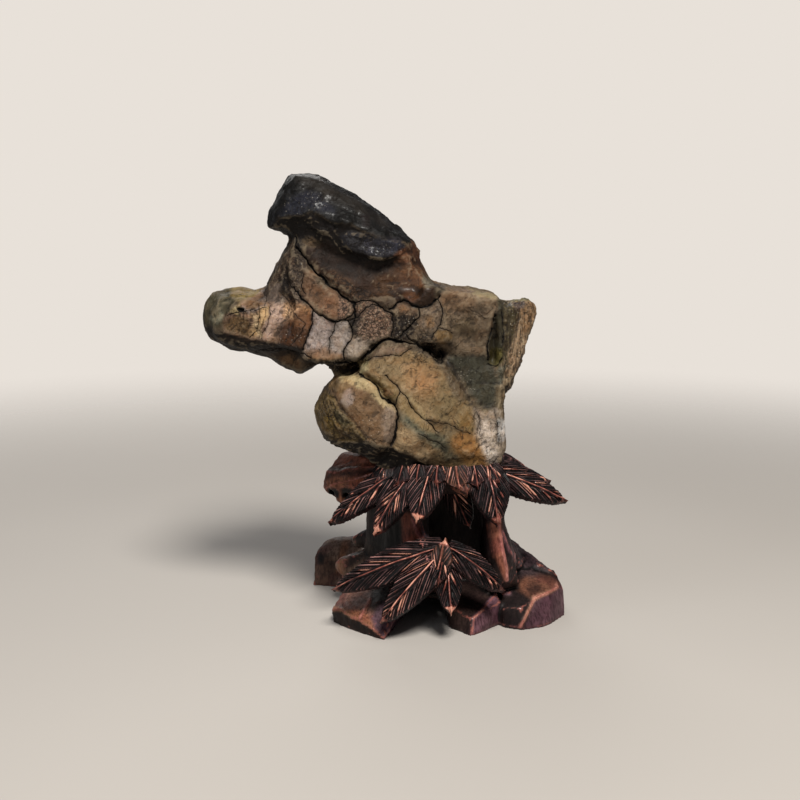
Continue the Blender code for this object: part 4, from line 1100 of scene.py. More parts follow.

# %% [markdown]
# The cap comes last, because its charcoal lies over everything else. It is brown along its ridge.
# Where it is polished it is a little blue, partly the slate's own colour and partly a painted
# reflection. Under its ledge it is black, partly dark stone and partly painted shade.

# %% Colours of the cap
CAP = [(-84, 264), (18, 264), (18, 216), (4, 219), (-6, 220), (-11, 221.5), (-16, 224), (-21, 226),
       (-28, 228.5), (-35, 229), (-39, 230.5), (-44, 233), (-48, 235), (-54, 233), (-66, 232),
       (-72, 227), (-84, 226)]
PATCHES += [
    (BOTH, (19, 18, 17), 1.0, 1.0, CAP),
    # Under the ledge: partly dark stone, partly painted shade.
    (BOTH, (20, 15, 13), 1.0, 1.0, [(-72, 229), (-66, 232), (-54, 233), (-48, 235), (-39, 230.5),
     (-28, 228.5), (-16, 224), (-6, 220), (3, 216), (0, 211), (-24, 210), (-42, 220), (-60, 221),
     (-74, 225)]),
    # The blue patches: partly the slate's own colour, partly a painted reflection.
    (NEAR, (36, 35, 40), 1.0, 1.2, [(-33, 223), (-28, 225), (-21, 224.5), (-11, 221), (-1, 221),
     (4, 217), (2, 213), (-8, 209.5), (-17, 211), (-24, 213), (-31, 217)]),
    (NEAR, (56, 57, 70), 0.9, 1.5, [(-18, 221), (-9, 219.5), (-1.5, 221), (1, 217), (-3, 212.5),
     (-11, 211.5), (-18, 213.5), (-21, 218)]),
    (NEAR, (34, 35, 45), 0.9, 2, [(-66, 235), (-61, 242), (-51, 247), (-44, 245), (-36, 239),
     (-35, 235), (-41, 235), (-48, 237.5), (-56, 234), (-65, 233)]),
    (NEAR, (42, 38, 34), 0.8, 2, [(-60, 256), (-48, 257), (-37, 250), (-22, 241), (-7, 231),
     (-6, 227), (-21, 235), (-35, 241), (-43, 246), (-55, 252)]),
    (NEAR, (34, 26, 26), 0.8, 1.5, [(-21, 234), (-16.5, 234), (-17, 227.5), (-21, 227.5)]),
    (NEAR, (98, 66, 46), 1.0, 1.0, [(-1, 214), (3.5, 217), (7, 219), (14, 218), (14, 209),
     (6, 208), (-5, 208.5)]),
]
print(len(PATCHES), "patches in all")

# %% [markdown]
# The patches are laid one over the other. Their edges are smeared to and fro, coarsely and finely,
# so that no outline shows as a drawn line. The result is stored as a colour on each point.

# %% Underpainting
TAN = (100, 86, 68)
SMEARS = [(8.0, 1.6), (2.4, 1.0)]


def underpaint(relief):
    """Each patch of colour over the last, in light-adding numbers."""
    smeared = np.zeros((relief.count, 3))
    for size, reach in SMEARS:
        pushes = [noise.noise_vector(Vector(p)) for p in relief.points / size]
        smeared += reach * np.array(pushes)
    flat = relief.points[:, [0, 2]] + smeared[:, [0, 2]]
    colours = np.tile(shade(*TAN), (relief.count, 1))
    for side, colour, strength, soft, outline in PATCHES:
        share = strength * step(-soft, soft, inside(flat, outline))
        share = (share * side_share(relief.points, side))[:, None]
        colours = colours * (1.0 - share) + np.array(shade(*colour)) * share
    relief.paint_colour("underpaint", colours)


underpaint(stone_relief)
print("underpainting laid in")

# %% [markdown]
# Four more things differ from block to block and are painted as plain numbers: how closely the
# skin is netted with black cracks, where grains sparkle, where it lies in thin sheets, and where
# it is polished. Each row below names one of them, and gives its strength in an outline. Where
# outlines of the same kind overlap, the strongest one counts.

# %% Nets, sparkle, sheets and polish
SKINS = [
    # what is painted, strength, soft edge, outline on the near side
    ("net", 0.8, 1.0, [(-25, 187), (-13, 187), (-4, 181), (-4, 167), (-14, 165), (-27, 169)]),
    ("net", 0.5, 2.0, [(-30, 192), (-18, 190), (-4, 186), (8, 183), (14, 176), (20, 168),
     (26, 154), (20, 150), (8, 159), (-4, 165), (-14, 166), (-28, 170)]),
    ("net", 0.9, 1.0, [(-34, 191), (-25, 187), (-25, 178), (-34, 177)]),
    ("net", 1.0, 1.0, [(-5, 179.5), (9, 179.5), (10, 174), (6, 169), (0, 165), (-5, 168)]),
    ("net", 0.9, 1.0, [(7, 166), (16, 171), (20, 166), (23, 158), (19, 156), (12, 161)]),
    ("net", 0.8, 1.5, [(-44, 202), (-36, 204), (-26, 197), (-12, 190), (-24, 187), (-37, 195)]),
    ("net", 0.35, 2.0, [(-48, 181), (-36, 176), (-38, 168), (-39, 158), (-54, 158)]),
    ("net", 0.22, 2.0, [(-36, 176), (-27, 174), (-26, 169), (-12, 166), (-23, 153), (-39, 157)]),
    ("net", 0.25, 3.0, [(-4, 208), (14, 202), (20, 192), (6, 184), (-8, 188)]),
    ("net", 0.55, 1.5, [(8, 160), (17, 157), (22, 150), (18, 150), (6, 157)]),
    ("net", 0.6, 1.5, [(-66, 197), (-57, 196), (-51, 187), (-58, 184), (-66, 190)]),
    ("net", 0.5, 1.5, [(-62, 222), (-54, 211), (-53, 197), (-76, 195)]),
    ("net", 0.35, 2.0, [(43, 124), (55, 119), (56, 104), (53, 95), (45, 107)]),
    ("net", 0.5, 1.5, [(-42, 136), (-30, 127), (-19, 112), (-43, 108), (-50, 126)]),
    ("net", 0.25, 2.0, [(22, 158), (40, 158), (46, 148), (30, 140), (22, 150)]),
    ("net", 0.4, 1.5, [(11, 183), (21, 187), (22, 175), (14, 171)]),
    ("net", 0.5, 1.0, [(-32, 222), (-8, 220), (4, 217), (-2, 211), (-24, 212)]),
    ("spark", 1.0, 1.0, [(-5, 179), (9, 179), (10, 174), (5, 168), (-4, 167)]),
    ("spark", 0.8, 1.0, [(9, 165), (16, 170), (20, 166), (22, 160), (14, 161)]),
    ("spark", 0.7, 1.5, [(-64, 172), (-50, 171), (-50, 161), (-68, 162)]),
    ("spark", 0.5, 1.5, [(-52, 172), (-38, 172), (-38, 160), (-52, 160)]),
    ("spark", 0.6, 1.0, [(-24, 183), (-10, 184), (-5, 176), (-8, 168), (-22, 169)]),
    ("spark", 0.6, 1.0, [(-26, 124), (-14, 124), (-10, 112), (-18, 113)]),
    ("spark", 0.6, 1.5, [(43, 122), (54, 118), (55, 96), (45, 108)]),
    ("spark", 0.5, 1.5, [(24, 156), (44, 152), (46, 136), (30, 136)]),
    ("spark", 0.7, 1.5, [(59, 180), (68, 182), (70, 150), (60, 146)]),
    ("spark", 0.4, 1.5, [(-66, 242), (-46, 247), (-36, 238), (-64, 232)]),
    ("spark", 0.6, 1.5, [(-20, 221), (0, 220), (3, 214), (-18, 212)]),
    ("spark", 0.6, 1.5, [(-46, 155), (-28, 154), (-24, 148), (-40, 147)]),
    ("spark", 0.5, 1.5, [(-66, 208), (-54, 210), (-53, 188), (-64, 194)]),
    ("sheets", 1.0, 1.5, [(59, 194), (86, 194), (80, 158), (70, 134), (57, 130), (59, 160)]),
    ("sheets", 0.6, 1.5, [(54, 141), (61, 141), (63, 128), (60, 108), (56, 96), (53, 128)]),
    ("sheets", 0.5, 1.5, [(-20, 137), (-8, 132), (-2, 126), (-4, 112), (-9, 113), (-10, 128)]),
    ("polish", 0.5, 2.0, CAP),
    ("polish", 0.75, 1.5, [(-33, 223), (-11, 221), (4, 217), (0, 211), (-24, 212)]),
    ("polish", 0.7, 2.0, [(-66, 235), (-51, 247), (-36, 239), (-48, 236)]),
    ("polish", 0.7, 2.0, [(-66, 184), (-48, 184), (-47, 170), (-54, 161), (-68, 161)]),
    ("polish", 0.5, 2.0, [(-33, 140), (-20, 140), (-2, 127), (-4, 109), (-18, 113)]),
    ("polish", 0.6, 1.0, [(52, 188), (58, 188), (58, 154), (49, 151)]),
    ("polish", 0.5, 2.0, [(59, 190), (76, 190), (70, 150), (60, 146)]),
    ("polish", 0.5, 2.0, [(0, 194), (20, 195), (19, 184), (4, 184)]),
    ("polish", 0.4, 2.0, [(24, 156), (49, 156), (54, 132), (32, 132)]),
]


def paint_skins(relief):
    flat = wandering(relief.points)
    near = side_share(relief.points, NEAR)
    for name in sorted({row[0] for row in SKINS}):
        rows = [row for row in SKINS if row[0] == name]
        shares = [strength * step(-soft, soft, inside(flat, outline))
                  for _, strength, soft, outline in rows]
        relief.paint(name, np.max(shares, axis=0) * near)


paint_skins(stone_relief)
print(len(SKINS), "skins painted")

# %% [markdown]
# The finish of the stone takes the underpainting and breaks it up. Broad mottling shifts it
# towards ochre, grey or olive, specks and flecks give it grain, and the small hollows of the crags
# are painted darker as shade. Tints that should only shift a colour are multiplied or overlaid.
# Marks of their own colour are mixed in.

# %% Grain and mottling of the stone
WARM_TINT = shade(246, 208, 168)
GREY_TINT = shade(150, 142, 132)
OLIVE_TINT = shade(150, 146, 122)
SPECK_TINT = shade(120, 106, 94)
FLECK_TINT = shade(196, 180, 156)
HOLLOW_SHADE = shade(104, 90, 78)
SHEET_DARK = shade(38, 28, 22)
SHEET_PALE = shade(182, 164, 134)


def mottled_stone(finish, base):
    """Broad shifts of the colour, in patches a few millimetres wide."""
    warm = finish.cloud(7.0, 6.0, warp=0.6, rough=0.6).between(0.48, 0.64) * 0.34
    base = finish.mix(warm, base, WARM_TINT, "MULTIPLY")
    grey = finish.cloud(5.0, 6.0, finish.place((20, 50, 0)), rough=0.65, warp=0.8)
    base = finish.mix(grey.between(0.50, 0.64) * 0.26, base, GREY_TINT, "OVERLAY")
    damp = finish.cloud(9.0, 7.0, finish.place((70, 10, 30)), rough=0.68, warp=0.7)
    return finish.mix(damp.between(0.50, 0.66) * 0.40, base, OLIVE_TINT, "MULTIPLY")


def grained_stone(finish, base, grain, flecks, craggy, sheet):
    """Specks, flecks, small hollows painted darker as shade, and the sheets of the layered parts.
    """
    rough, net, sheets = [finish.painted(name) for name in ("rough", "net", "sheets")]
    speck = (1 - grain.between(0.36, 0.58)) * (0.37 + 0.36 * net)
    base = finish.mix(speck, base, SPECK_TINT, "MULTIPLY")
    fleck = flecks.between(0.50, 0.62) * (0.36 + 0.30 * rough)
    base = finish.mix(fleck, base, FLECK_TINT, "SOFT_LIGHT")
    # The hollows of the crags, which the bumps also sink, are painted darker as shade.
    hollows = 1 - craggy.between(0.10, 0.55)
    base = finish.mix(hollows * 0.60, base, HOLLOW_SHADE, "MULTIPLY")
    base = finish.mix(sheets * (1 - sheet.between(0.38, 0.50)) * 0.85, base, SHEET_DARK)
    return finish.mix(sheets * sheet.between(0.56, 0.64) * 0.45, base, SHEET_PALE)


print("tints of the stone ready")

# %% [markdown]
# Over the grain lie the marks. A net of black cracks follows where it was painted, thin veins
# cross the rest, and glints are painted pale on grains as highlights. The undersides are painted
# dark as shade, and so are the creases where the surface sinks in. The fissures go nearly black,
# with grime beside them. Edges that stand out are a shade paler, except on polished slate.

# %% Marks on the stone
CRACK_BLACK = shade(22, 16, 13)
PAINTED_GLINT = shade(214, 202, 184)
UNDERSIDE_SHADE = shade(17, 12, 8)
EDGE_PALE = shade(190, 170, 140)
CREASE_SHADE = shade(20, 15, 11)
GRIME_DARK = shade(34, 26, 19)
FISSURE_BLACK = shade(9, 7, 6)


def crack_lines(finish):
    """1 on the black lines: a close net where it is painted, and stray veins elsewhere."""
    net = finish.painted("net")
    wide = finish.hairlines(7.5, 0.016, finish.place((0, 35, 0)), 1.0)
    close = finish.hairlines(3.0, 0.034, finish.place((40, 0, 15)), 0.9)
    where = finish.cloud(8.0, 4.0, finish.place((5, 80, 0)))
    cells = finish.cells(1.9, "DISTANCE_TO_EDGE", finish.bent(0.8, 1.6))
    netted = (1 - cells.between(0.03, 0.13)) * (net + where - 0.75).between(0.05, 0.35)
    veins = (wide * where.between(0.42, 0.54) * 0.7) | (close * net)
    return veins | netted


def marked_stone(finish, base, grain, lines, glint, crack):
    """Cracks, glints, painted shade below, worn edges, painted shade in creases, grime, fissures,
    in order.
    """
    net, polish, edge = [finish.painted(name) for name in ("net", "polish", "edge")]
    base = finish.mix(lines * 0.86, base, CRACK_BLACK)
    # Glints on grains are painted pale as highlights.
    base = finish.mix(glint * 0.85, base, PAINTED_GLINT)
    # Faces turned down are painted dark as shade.
    base = finish.mix(finish.painted("under") * 0.85, base, UNDERSIDE_SHADE)
    worn = edge.between(0.3, 1.0) * (1 - polish.between(0.1, 0.4)) * 0.16
    base = finish.mix(worn, base, EDGE_PALE)
    # Creases, where the surface sinks in, are painted dark as shade.
    base = finish.mix((0.0 - edge).between(0.1, 0.8) * 0.60, base, CREASE_SHADE)
    grime = (finish.painted("grime") + (grain - 0.5) * 1.4).between(0.25, 1.0)
    base = finish.mix(grime * (0.35 + 0.3 * net), base, GRIME_DARK)
    return finish.mix(crack * 0.95, base, FISSURE_BLACK)


print("marks of the stone ready")

# %% [markdown]
# Last come the gloss and the bumps. Handling has polished some blocks, which shows as a thin clear
# coat in patches. The bumps only carry what is finer than the mesh: grit, small crags, pits, the
# edges of the sheets, and the cracks.

# %% Finish of the stone
GRIT, CRAGS, PITS, SHEETS, CRACKS = 0.34, 0.95, 0.24, 0.30, 0.16


def stone_bumps(finish, craggy, sheet, lines):
    """Bumps laid over one another, from the broadest to the cracks."""
    bumps = finish.bump(finish.cloud(1.0, 6.0, rough=0.72), GRIT, finish.bump(craggy, CRAGS))
    pits = finish.cells(1.5).between(0.0, 0.6) * (0.05 + 0.85 * finish.painted("rough"))
    bumps = finish.bump(pits, PITS, bumps)
    bumps = finish.bump(sheet * finish.painted("sheets"), SHEETS, bumps)
    return finish.bump(1 - lines, CRACKS, bumps)


def stone_finish():
    """The material of the stone, from its underpainting to its cracks."""
    finish = Finish("weathered_stone_with_painted_light", {"IOR": 1.45, "Specular IOR Level": 0.22,
                                        "Coat Roughness": 0.22})
    grain = finish.cloud(1.7, 6.0, rough=0.75)
    flecks = finish.cloud(1.1, 4.0, finish.place((15, 0, 60)), rough=0.75)
    craggy = finish.crags(5.0)
    sheet = finish.cloud(1.7, 5.0, finish.place((0, -7, 0), (1, 1, 9)), rough=0.65)
    lines = crack_lines(finish)
    # Glints: small pale dots painted as highlights where sparkle is painted, with a clear coat.
    glint = 1 - finish.cells(1.5, "F1", finish.bent(0.6, 0.8)).between(0.10, 0.26)
    glint = glint * finish.painted("spark") * flecks.between(0.44, 0.56)
    crack = (finish.painted("fissure") + (grain - 0.5) * 0.5).between(0.30, 0.60)
    base = mottled_stone(finish, finish.painted_colour("underpaint"))
    base = grained_stone(finish, base, grain, flecks, craggy, sheet)
    finish.set("Base Color", marked_stone(finish, base, grain, lines, glint, crack))
    polish = finish.painted("polish")
    sheen = finish.cloud(3.0, 5.0, rough=0.65)
    finish.set("Roughness", 0.46 + sheen * 0.24 - polish * 0.14 + crack * 0.2)
    finish.set("Coat Weight", (polish * sheen.between(0.42, 0.60) * 0.36) | (glint * 0.5))
    finish.set("Normal", stone_bumps(finish, craggy, sheet, lines))
    return finish.material


stone.data.materials.append(stone_finish())
stone.data.shade_smooth()
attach(stone, "root")
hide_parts("rock")
print("stone finished")

# %% [markdown]
# ## The stand: its block
#
# The stand was sawn and gouged from one block of dense wood, stained nearly black and worn back,
# so every edge shows the red of the wood, and highlights are painted on the edges as well. The
# trunks, logs and the mound are rounded and the cut rocks keep their facets, so the smoothing is
# done box by box. Tool marks come next: long gouges down the trunks, split grain along the log,
# and small knobs on the mound behind.

# %% Softened parts and tool marks
SOFTENED = [
    # lowest corner, highest corner, soft edge, how many passes of smoothing
    ((-64, 34, -2), (-6, 84, 40), 6.0, 40),
    ((8, 30, -2), (72, 76, 34), 6.0, 40),
    ((-56, -30, 62), (4, 34, 99), 4.0, 8),
    ((-46, -12, 14), (2, 34, 48), 4.0, 10),
    ((40, -12, 22), (104, 60, 60), 5.0, 16),
    ((42, -52, 26), (70, -6, 64), 4.0, 16),
    ((-50, -70, -2), (6, 10, 24), 5.0, 8),
    ((-30, -40, 36), (70, 60, 86), 6.0, 8),
]
MARKS = [
    # lowest corner, highest corner, soft edge, grain size along x, y, z, height
    ((-34, -36, 24), (72, 70, 90), 6.0, (4.0, 4.0, 18.0), 0.35),
    ((-44, -8, 15), (4, 30, 44), 4.0, (16.0, 3.4, 3.4), 0.5),
    ((-48, -70, -2), (8, 16, 24), 4.0, (4.0, 9.0, 5.0), 0.5),
    ((52, -30, 20), (104, 56, 48), 5.0, (6.0, 6.0, 6.0), 0.7),
    ((-52, -30, 60), (6, 34, 99), 3.0, (18.0, 6.0, 4.0), 0.5),
    ((-60, 36, -2), (66, 76, 34), 5.0, (9.0, 9.0, 9.0), 0.5),
]
print(len(SOFTENED), "parts to soften and", len(MARKS), "kinds of tool mark")

# %% [markdown]
# The carver left sharp ridges down the trunks, along the rims of the logs and where two faces of
# a rock meet. Each is a line with a width and a height. It has a colour of its own: partly the red
# of the wood where the staining has worn through, and partly a painted highlight where light
# catches it.

# %% Carved ridges
CARVED_RIDGES = [
    # side, half width, height, colour where it is worn and lit, line seen from the front
    (NEAR, 0.8, 1.2, (216, 148, 138), [(54, 72), (56.5, 56), (58.5, 45), (60.5, 36), (61, 28)]),
    (NEAR, 0.8, 0.6, (150, 108, 110), [(58, 56), (62, 46), (65.5, 40), (68, 34)]),
    (NEAR, 0.8, 0.4, (96, 58, 46), [(50, 60), (51, 50), (53, 42)]),
    (NEAR, 0.7, 1.0, (200, 134, 132), [(7, 63), (10, 55), (12.5, 52), (14.5, 47), (17, 42)]),
    (NEAR, 0.7, 0.6, (118, 104, 112), [(10.5, 66), (13.5, 54), (17, 49), (19, 44)]),
    (NEAR, 0.8, 0.7, (176, 108, 92), [(-22.6, 8.8), (-20.7, 11.4), (-17, 16)]),
    (NEAR, 0.7, 0.6, (188, 142, 138), [(-3, 7), (-6, 4), (-9, 1)]),
    (NEAR, 0.7, 0.7, (222, 176, 126), [(-39, 7.4), (-33.5, 9.6), (-30, 8.6), (-27.4, 7.7)]),
    (NEAR, 0.6, 0.7, (196, 134, 100), [(-27.4, 7.7), (-23.7, 7.8), (-20.5, 6.6), (-16.8, 5.5),
     (-13.2, 3.9), (-10, 1.6)]),
    (NEAR, 0.7, 0.6, (172, 132, 140), [(64, 17.2), (54.8, 15.8), (41.7, 8.8), (40.6, 0)]),
    (NEAR, 0.8, 0.5, (236, 170, 142), [(68.5, 2), (73, 9), (77.5, 14.8)]),
    (NEAR, 0.8, 0.5, (240, 182, 150), [(77.5, 14.8), (84, 15.9), (93, 17.2)]),
    (NEAR, 0.5, 0.2, (120, 84, 80), [(41, 0.5), (58, 2), (69, 1.2), (96, 1)]),
    (BOTH, 0.9, 0.8, (124, 68, 44), [(-44, 84), (-30, 88), (-12, 92), (2, 94)]),
    (BOTH, 0.8, 0.8, (104, 58, 40), [(-40, 79), (-28, 83), (-14, 89), (0, 92)]),
    (BOTH, 0.7, 0.6, (128, 70, 46), [(-27, 78), (-18, 82), (-8, 87)]),
    (BOTH, 0.7, 0.8, (120, 84, 62), [(-43.6, 74.5), (-42, 77), (-37.6, 78), (-34.6, 75.6)]),
    (BOTH, 0.7, 0.8, (110, 74, 52), [(-34.4, 78), (-31, 79.6), (-26.6, 79)]),
]
print(len(CARVED_RIDGES), "ridges")

# %% [markdown]
# The staining is not one colour. It is greyer on the rocks and redder on the trunks and the rolled
# leaf. Light and shade are painted in as well: faces that the light falls on are lighter, faces
# turned from it darker, and the hollows under the canopy are painted black as shade. The open ends
# of the rolled leaf and of the knob are small, so their holes are painted on as dark shade and not
# cut.

# %% Stains
WOOD = (48, 35, 32)
STAINS_AND_LIGHT = [
    # side, colour, strength, soft edge, outline seen from the front
    (FAR, (132, 108, 92), 1.0, 3.0, [(-64, -4), (-64, 34), (-28, 38), (-16, 30), (-20, -4)]),
    (FAR, (92, 68, 56), 1.0, 1.5, [(-64, -4), (-64, 20), (-47, 20), (-42, 16), (-40, -4)]),
    (FAR, (20, 17, 18), 0.9, 1.2, [(-53, 14), (-49, 14), (-48.5, 19), (-52, 21)]),
    (BOTH, (50, 40, 33), 0.8, 2.0, [(-34, 24), (-27, 40), (-14, 46), (-11, 40), (-16, 32)]),
    (BOTH, (116, 80, 50), 0.9, 1.5, [(-13, 36), (-13, 41), (-8, 45), (-5, 49), (-5, 44)]),
    (BOTH, (132, 88, 62), 0.8, 1.5, [(-42, 8), (-37, 29), (-31, 30), (-34, 21), (-38, 6)]),
    (BOTH, (148, 96, 70), 1.0, 2.0, [(-50, 72), (-46, 99), (-10, 101), (4, 97), (-18, 78),
     (-28, 68)]),
    (BOTH, (134, 72, 48), 1.0, 2.5, [(-27, 88), (-20, 91), (-9, 94), (-9, 89), (-18, 84),
     (-25, 79), (-30, 82)]),
    (BOTH, (38, 26, 23), 0.8, 1.5, [(-44, 80), (-38, 84), (-20, 86), (-6, 93), (-24, 90),
     (-42, 88)]),
    # The two mouths of the rolled leaf, painted dark as shade in place of holes.
    (BOTH, (8, 6, 5), 1.0, 0.8, [(-43, 74), (-42, 76), (-37.7, 77), (-35, 75), (-35.4, 71),
     (-42, 70)]),
    (BOTH, (12, 8, 7), 1.0, 0.8, [(-34.4, 77), (-32, 78.5), (-27.3, 78), (-27, 74), (-34, 70)]),
    # The top of the log, painted lighter where light falls on it.
    (NEAR, (134, 96, 82), 1.0, 1.5, [(-40, 8), (-34, 20), (-14, 22), (-10, 14), (-4, 6), (-9, 1)]),
    (NEAR, (150, 96, 68), 1.0, 2.0, [(-34, 9), (-28, 12), (-20.7, 12.5), (-17, 10), (-12, 4),
     (-23.7, 8)]),
    (NEAR, (38, 34, 31), 0.9, 1.5, [(-16, 21), (-8, 20), (-9, 16), (-13, 10), (-17, 13)]),
    (NEAR, (104, 80, 90), 0.9, 1.5, [(-16, 10), (-10, 16), (4, 14), (4, -1), (-9, 1), (-14, 4)]),
    (NEAR, (34, 19, 14), 1.0, 0.5, [(-40, 7), (-34, 9), (-28, 7.1), (-23.7, 7.2), (-17, 5),
     (-10, 0.5), (-10, -2), (-42, -2)]),
    # Painted shade behind the canopy, near black, with the lit face of the left trunk painted
    # light.
    (NEAR, (12, 10, 12), 1.0, 1.5, [(-26, 68), (-1, 66), (0, 60), (1, 44), (-2, 36), (-26, 30)]),
    (NEAR, (132, 70, 54), 1.0, 1.5, [(1, 66), (9, 66), (15, 48), (14, 40), (2, 42)]),
    (NEAR, (4, 4, 4), 1.0, 1.5, [(16, 80), (44, 72), (48, 60), (50, 44), (42, 34), (20, 44),
     (16, 52)]),
    # The faces of the two cut rocks: lit faces painted lighter, shaded faces darker.
    (NEAR, (58, 43, 39), 1.0, 1.0, [(24, 20), (30, 28), (42, 17.5), (54, 16), (41.5, 9), (41, -2),
     (20, 6)]),
    (NEAR, (110, 78, 86), 1.0, 1.0, [(41, -2), (42, 9), (54, 16), (65, 17), (60, 2), (58, -2)]),
    (NEAR, (38, 28, 27), 1.0, 1.0, [(57, 16), (68, 18), (77.5, 14.5), (69, 1), (57, 1)]),
    (NEAR, (128, 84, 64), 1.0, 1.5, [(67, 19), (75, 22), (89, 22), (96, 17), (91, 15), (79, 14)]),
    (NEAR, (62, 38, 32), 0.8, 1.2, [(73, 19), (81, 20), (84, 17), (76, 16.4)]),
    (NEAR, (102, 74, 80), 1.0, 1.0, [(77.5, 14.5), (96, 16.5), (106, 8), (100, -2), (69, -2)]),
    (BOTH, (86, 70, 72), 1.0, 2.0, [(60, 54), (64, 36), (72, 23), (89, 22), (104, 24), (104, 32),
     (84, 40), (74, 54)]),
    # The right trunk: its shaded side painted dark, its lit face painted light.
    (NEAR, (44, 33, 33), 1.0, 1.5, [(46, 66), (60, 66), (66, 44), (72, 32), (62, 25), (50, 40)]),
    (NEAR, (168, 104, 82), 1.0, 1.2, [(52, 70), (57, 70), (58, 48), (62, 34), (60, 28), (54, 42),
     (51, 54)]),
]
print(len(STAINS_AND_LIGHT), "stains")

# %% [markdown]
# The block is made in the order the carver worked in: the forms are rounded, the tools leave their
# marks, ridges are cut, and the wood is stained. Last comes how far each point stands out, in two
# widths, one for edges and one for whole forms, as cloth and hands work the staining off whatever
# stands out. The finish paints what stands out copper and pink, partly as worn wood and partly as
# highlights, and what sinks in dark, partly as lacquer and partly as shade. The edges are painted
# brighter on faces turned up, where light falls, and dimmer at the top rim under the stone.

# %% Shape of the block
BLOCK_GRAIN = 1.15
BLOCK_PASSES = 2
FOOT_KEPT = (0.2, 3.0)
ROUGH_SAWN, SAWN_SIZE = 0.10, 2.4
WORN_SIZE, WORN_LEVEL, WORN_SPREAD, WORN_LEAST = 5.0, 0.80, 0.9, 0.15
GROUND_KEPT = (0.0, 2.0)
WEAR_PASSES, WEAR_HEIGHT = 3, 0.20
BROAD_PASSES, BROAD_HEIGHT = 24, 0.8
DOWNWARD_LIT_SHARE, DIMMED_TOP = 0.45, (91.0, 93.0)


def in_box(points, low, high, soft):
    """1 well inside a box, 0 outside it."""
    depth = np.minimum(points - np.array(low, float), np.array(high, float) - points)
    return step(0.0, soft, np.min(depth, axis=1))


def soften_block(relief):
    """Rounds the logs, trunks and mound, and leaves the cut rocks their facets."""
    for low, high, soft, passes in SOFTENED:
        share = in_box(relief.points, low, high, soft) * step(*FOOT_KEPT, relief.points[:, 2])
        rounded = relief.averaged(relief.points, passes)
        relief.move_by((rounded - relief.points) * share[:, None])


def carve_block(relief):
    """Tool marks, stains with painted light and shade, ridges, and how far each point stands out.
    """
    height = ROUGH_SAWN * relief.noise(clouds, SAWN_SIZE)
    for low, high, soft, sizes, reach in MARKS:
        share = in_box(relief.points, low, high, soft)
        height += share * reach * relief.noise(crags, np.array(sizes), share)
    flat = relief.points[:, [0, 2]]
    colours = np.tile(shade(*WOOD), (relief.count, 1))
    for side, colour, strength, soft, outline in STAINS_AND_LIGHT:
        share = strength * side_share(relief.points, side)
        share = share * step(-soft, soft, inside(flat, outline))
        colours += share[:, None] * (np.array(shade(*colour)) - colours)
    # How much of each ridge's colour shows, worn wood and painted highlight alike, varies at
    # random.
    worn = WORN_LEVEL + WORN_SPREAD * relief.noise(clouds, WORN_SIZE)
    worn = np.clip(worn, WORN_LEAST, 1.0)
    for side, half, rise, colour, line in CARVED_RIDGES:
        share = side_share(relief.points, side) * np.exp(-((to_line(flat, line) / half) ** 2))
        height += rise * share
        colours += (worn * share)[:, None] * (np.array(shade(*colour)) - colours)
    relief.paint_colour("stain_and_light", colours)
    relief.raise_by(height * step(*GROUND_KEPT, relief.points[:, 2]))
    # Painted light: edges on faces turned up, where light falls, keep their brightness; faces
    # turned down and the top rim under the stone keep less.
    lit_share = DOWNWARD_LIT_SHARE + (1.0 - DOWNWARD_LIT_SHARE) * step(-0.5, 0.6, relief.facing[:, 2])
    lit_share *= 1.0 - 0.6 * step(*DIMMED_TOP, relief.points[:, 2])
    edge_bulge = np.clip(relief.bulge(WEAR_PASSES) / WEAR_HEIGHT, -1.0, 1.0)
    relief.paint("edge_bulge", edge_bulge * lit_share)
    relief.paint("broad_bulge", np.clip(relief.bulge(BROAD_PASSES) / BROAD_HEIGHT, -1.0, 1.0))


block = fine_copy("stand", "carved_block", BLOCK_GRAIN, BLOCK_PASSES)
block_relief = Relief(block)
soften_block(block_relief)
carve_block(block_relief)
print("block:", len(block.data.polygons), "faces,", block_relief.count, "points")

# %% [markdown]
# One recipe finishes the block and the leaves. It mottles the stained wood and darkens its
# hollows, partly as old lacquer and partly as painted shade. It paints the fine lines pink as
# highlights and brightens the crests in two steps: first to copper, partly worn wood and partly
# painted highlight, and then to pale pink, a painted highlight. The pieces differ only in where
# their crests, lines and hollows are, so those come in as functions.

# %% Finish of the wood
MOTTLE_TINT = shade(128, 118, 122)
PLUM_TINT = shade(190, 150, 178)
GRAIN_TINT = shade(112, 92, 88)
PINK_LINE_HIGHLIGHT = shade(170, 124, 118)
COPPER_WEAR_AND_HIGHLIGHT = shade(142, 78, 66)
PINK_HIGHLIGHT = shade(238, 172, 148)
LACQUER_AND_SHADE = shade(6, 5, 5)


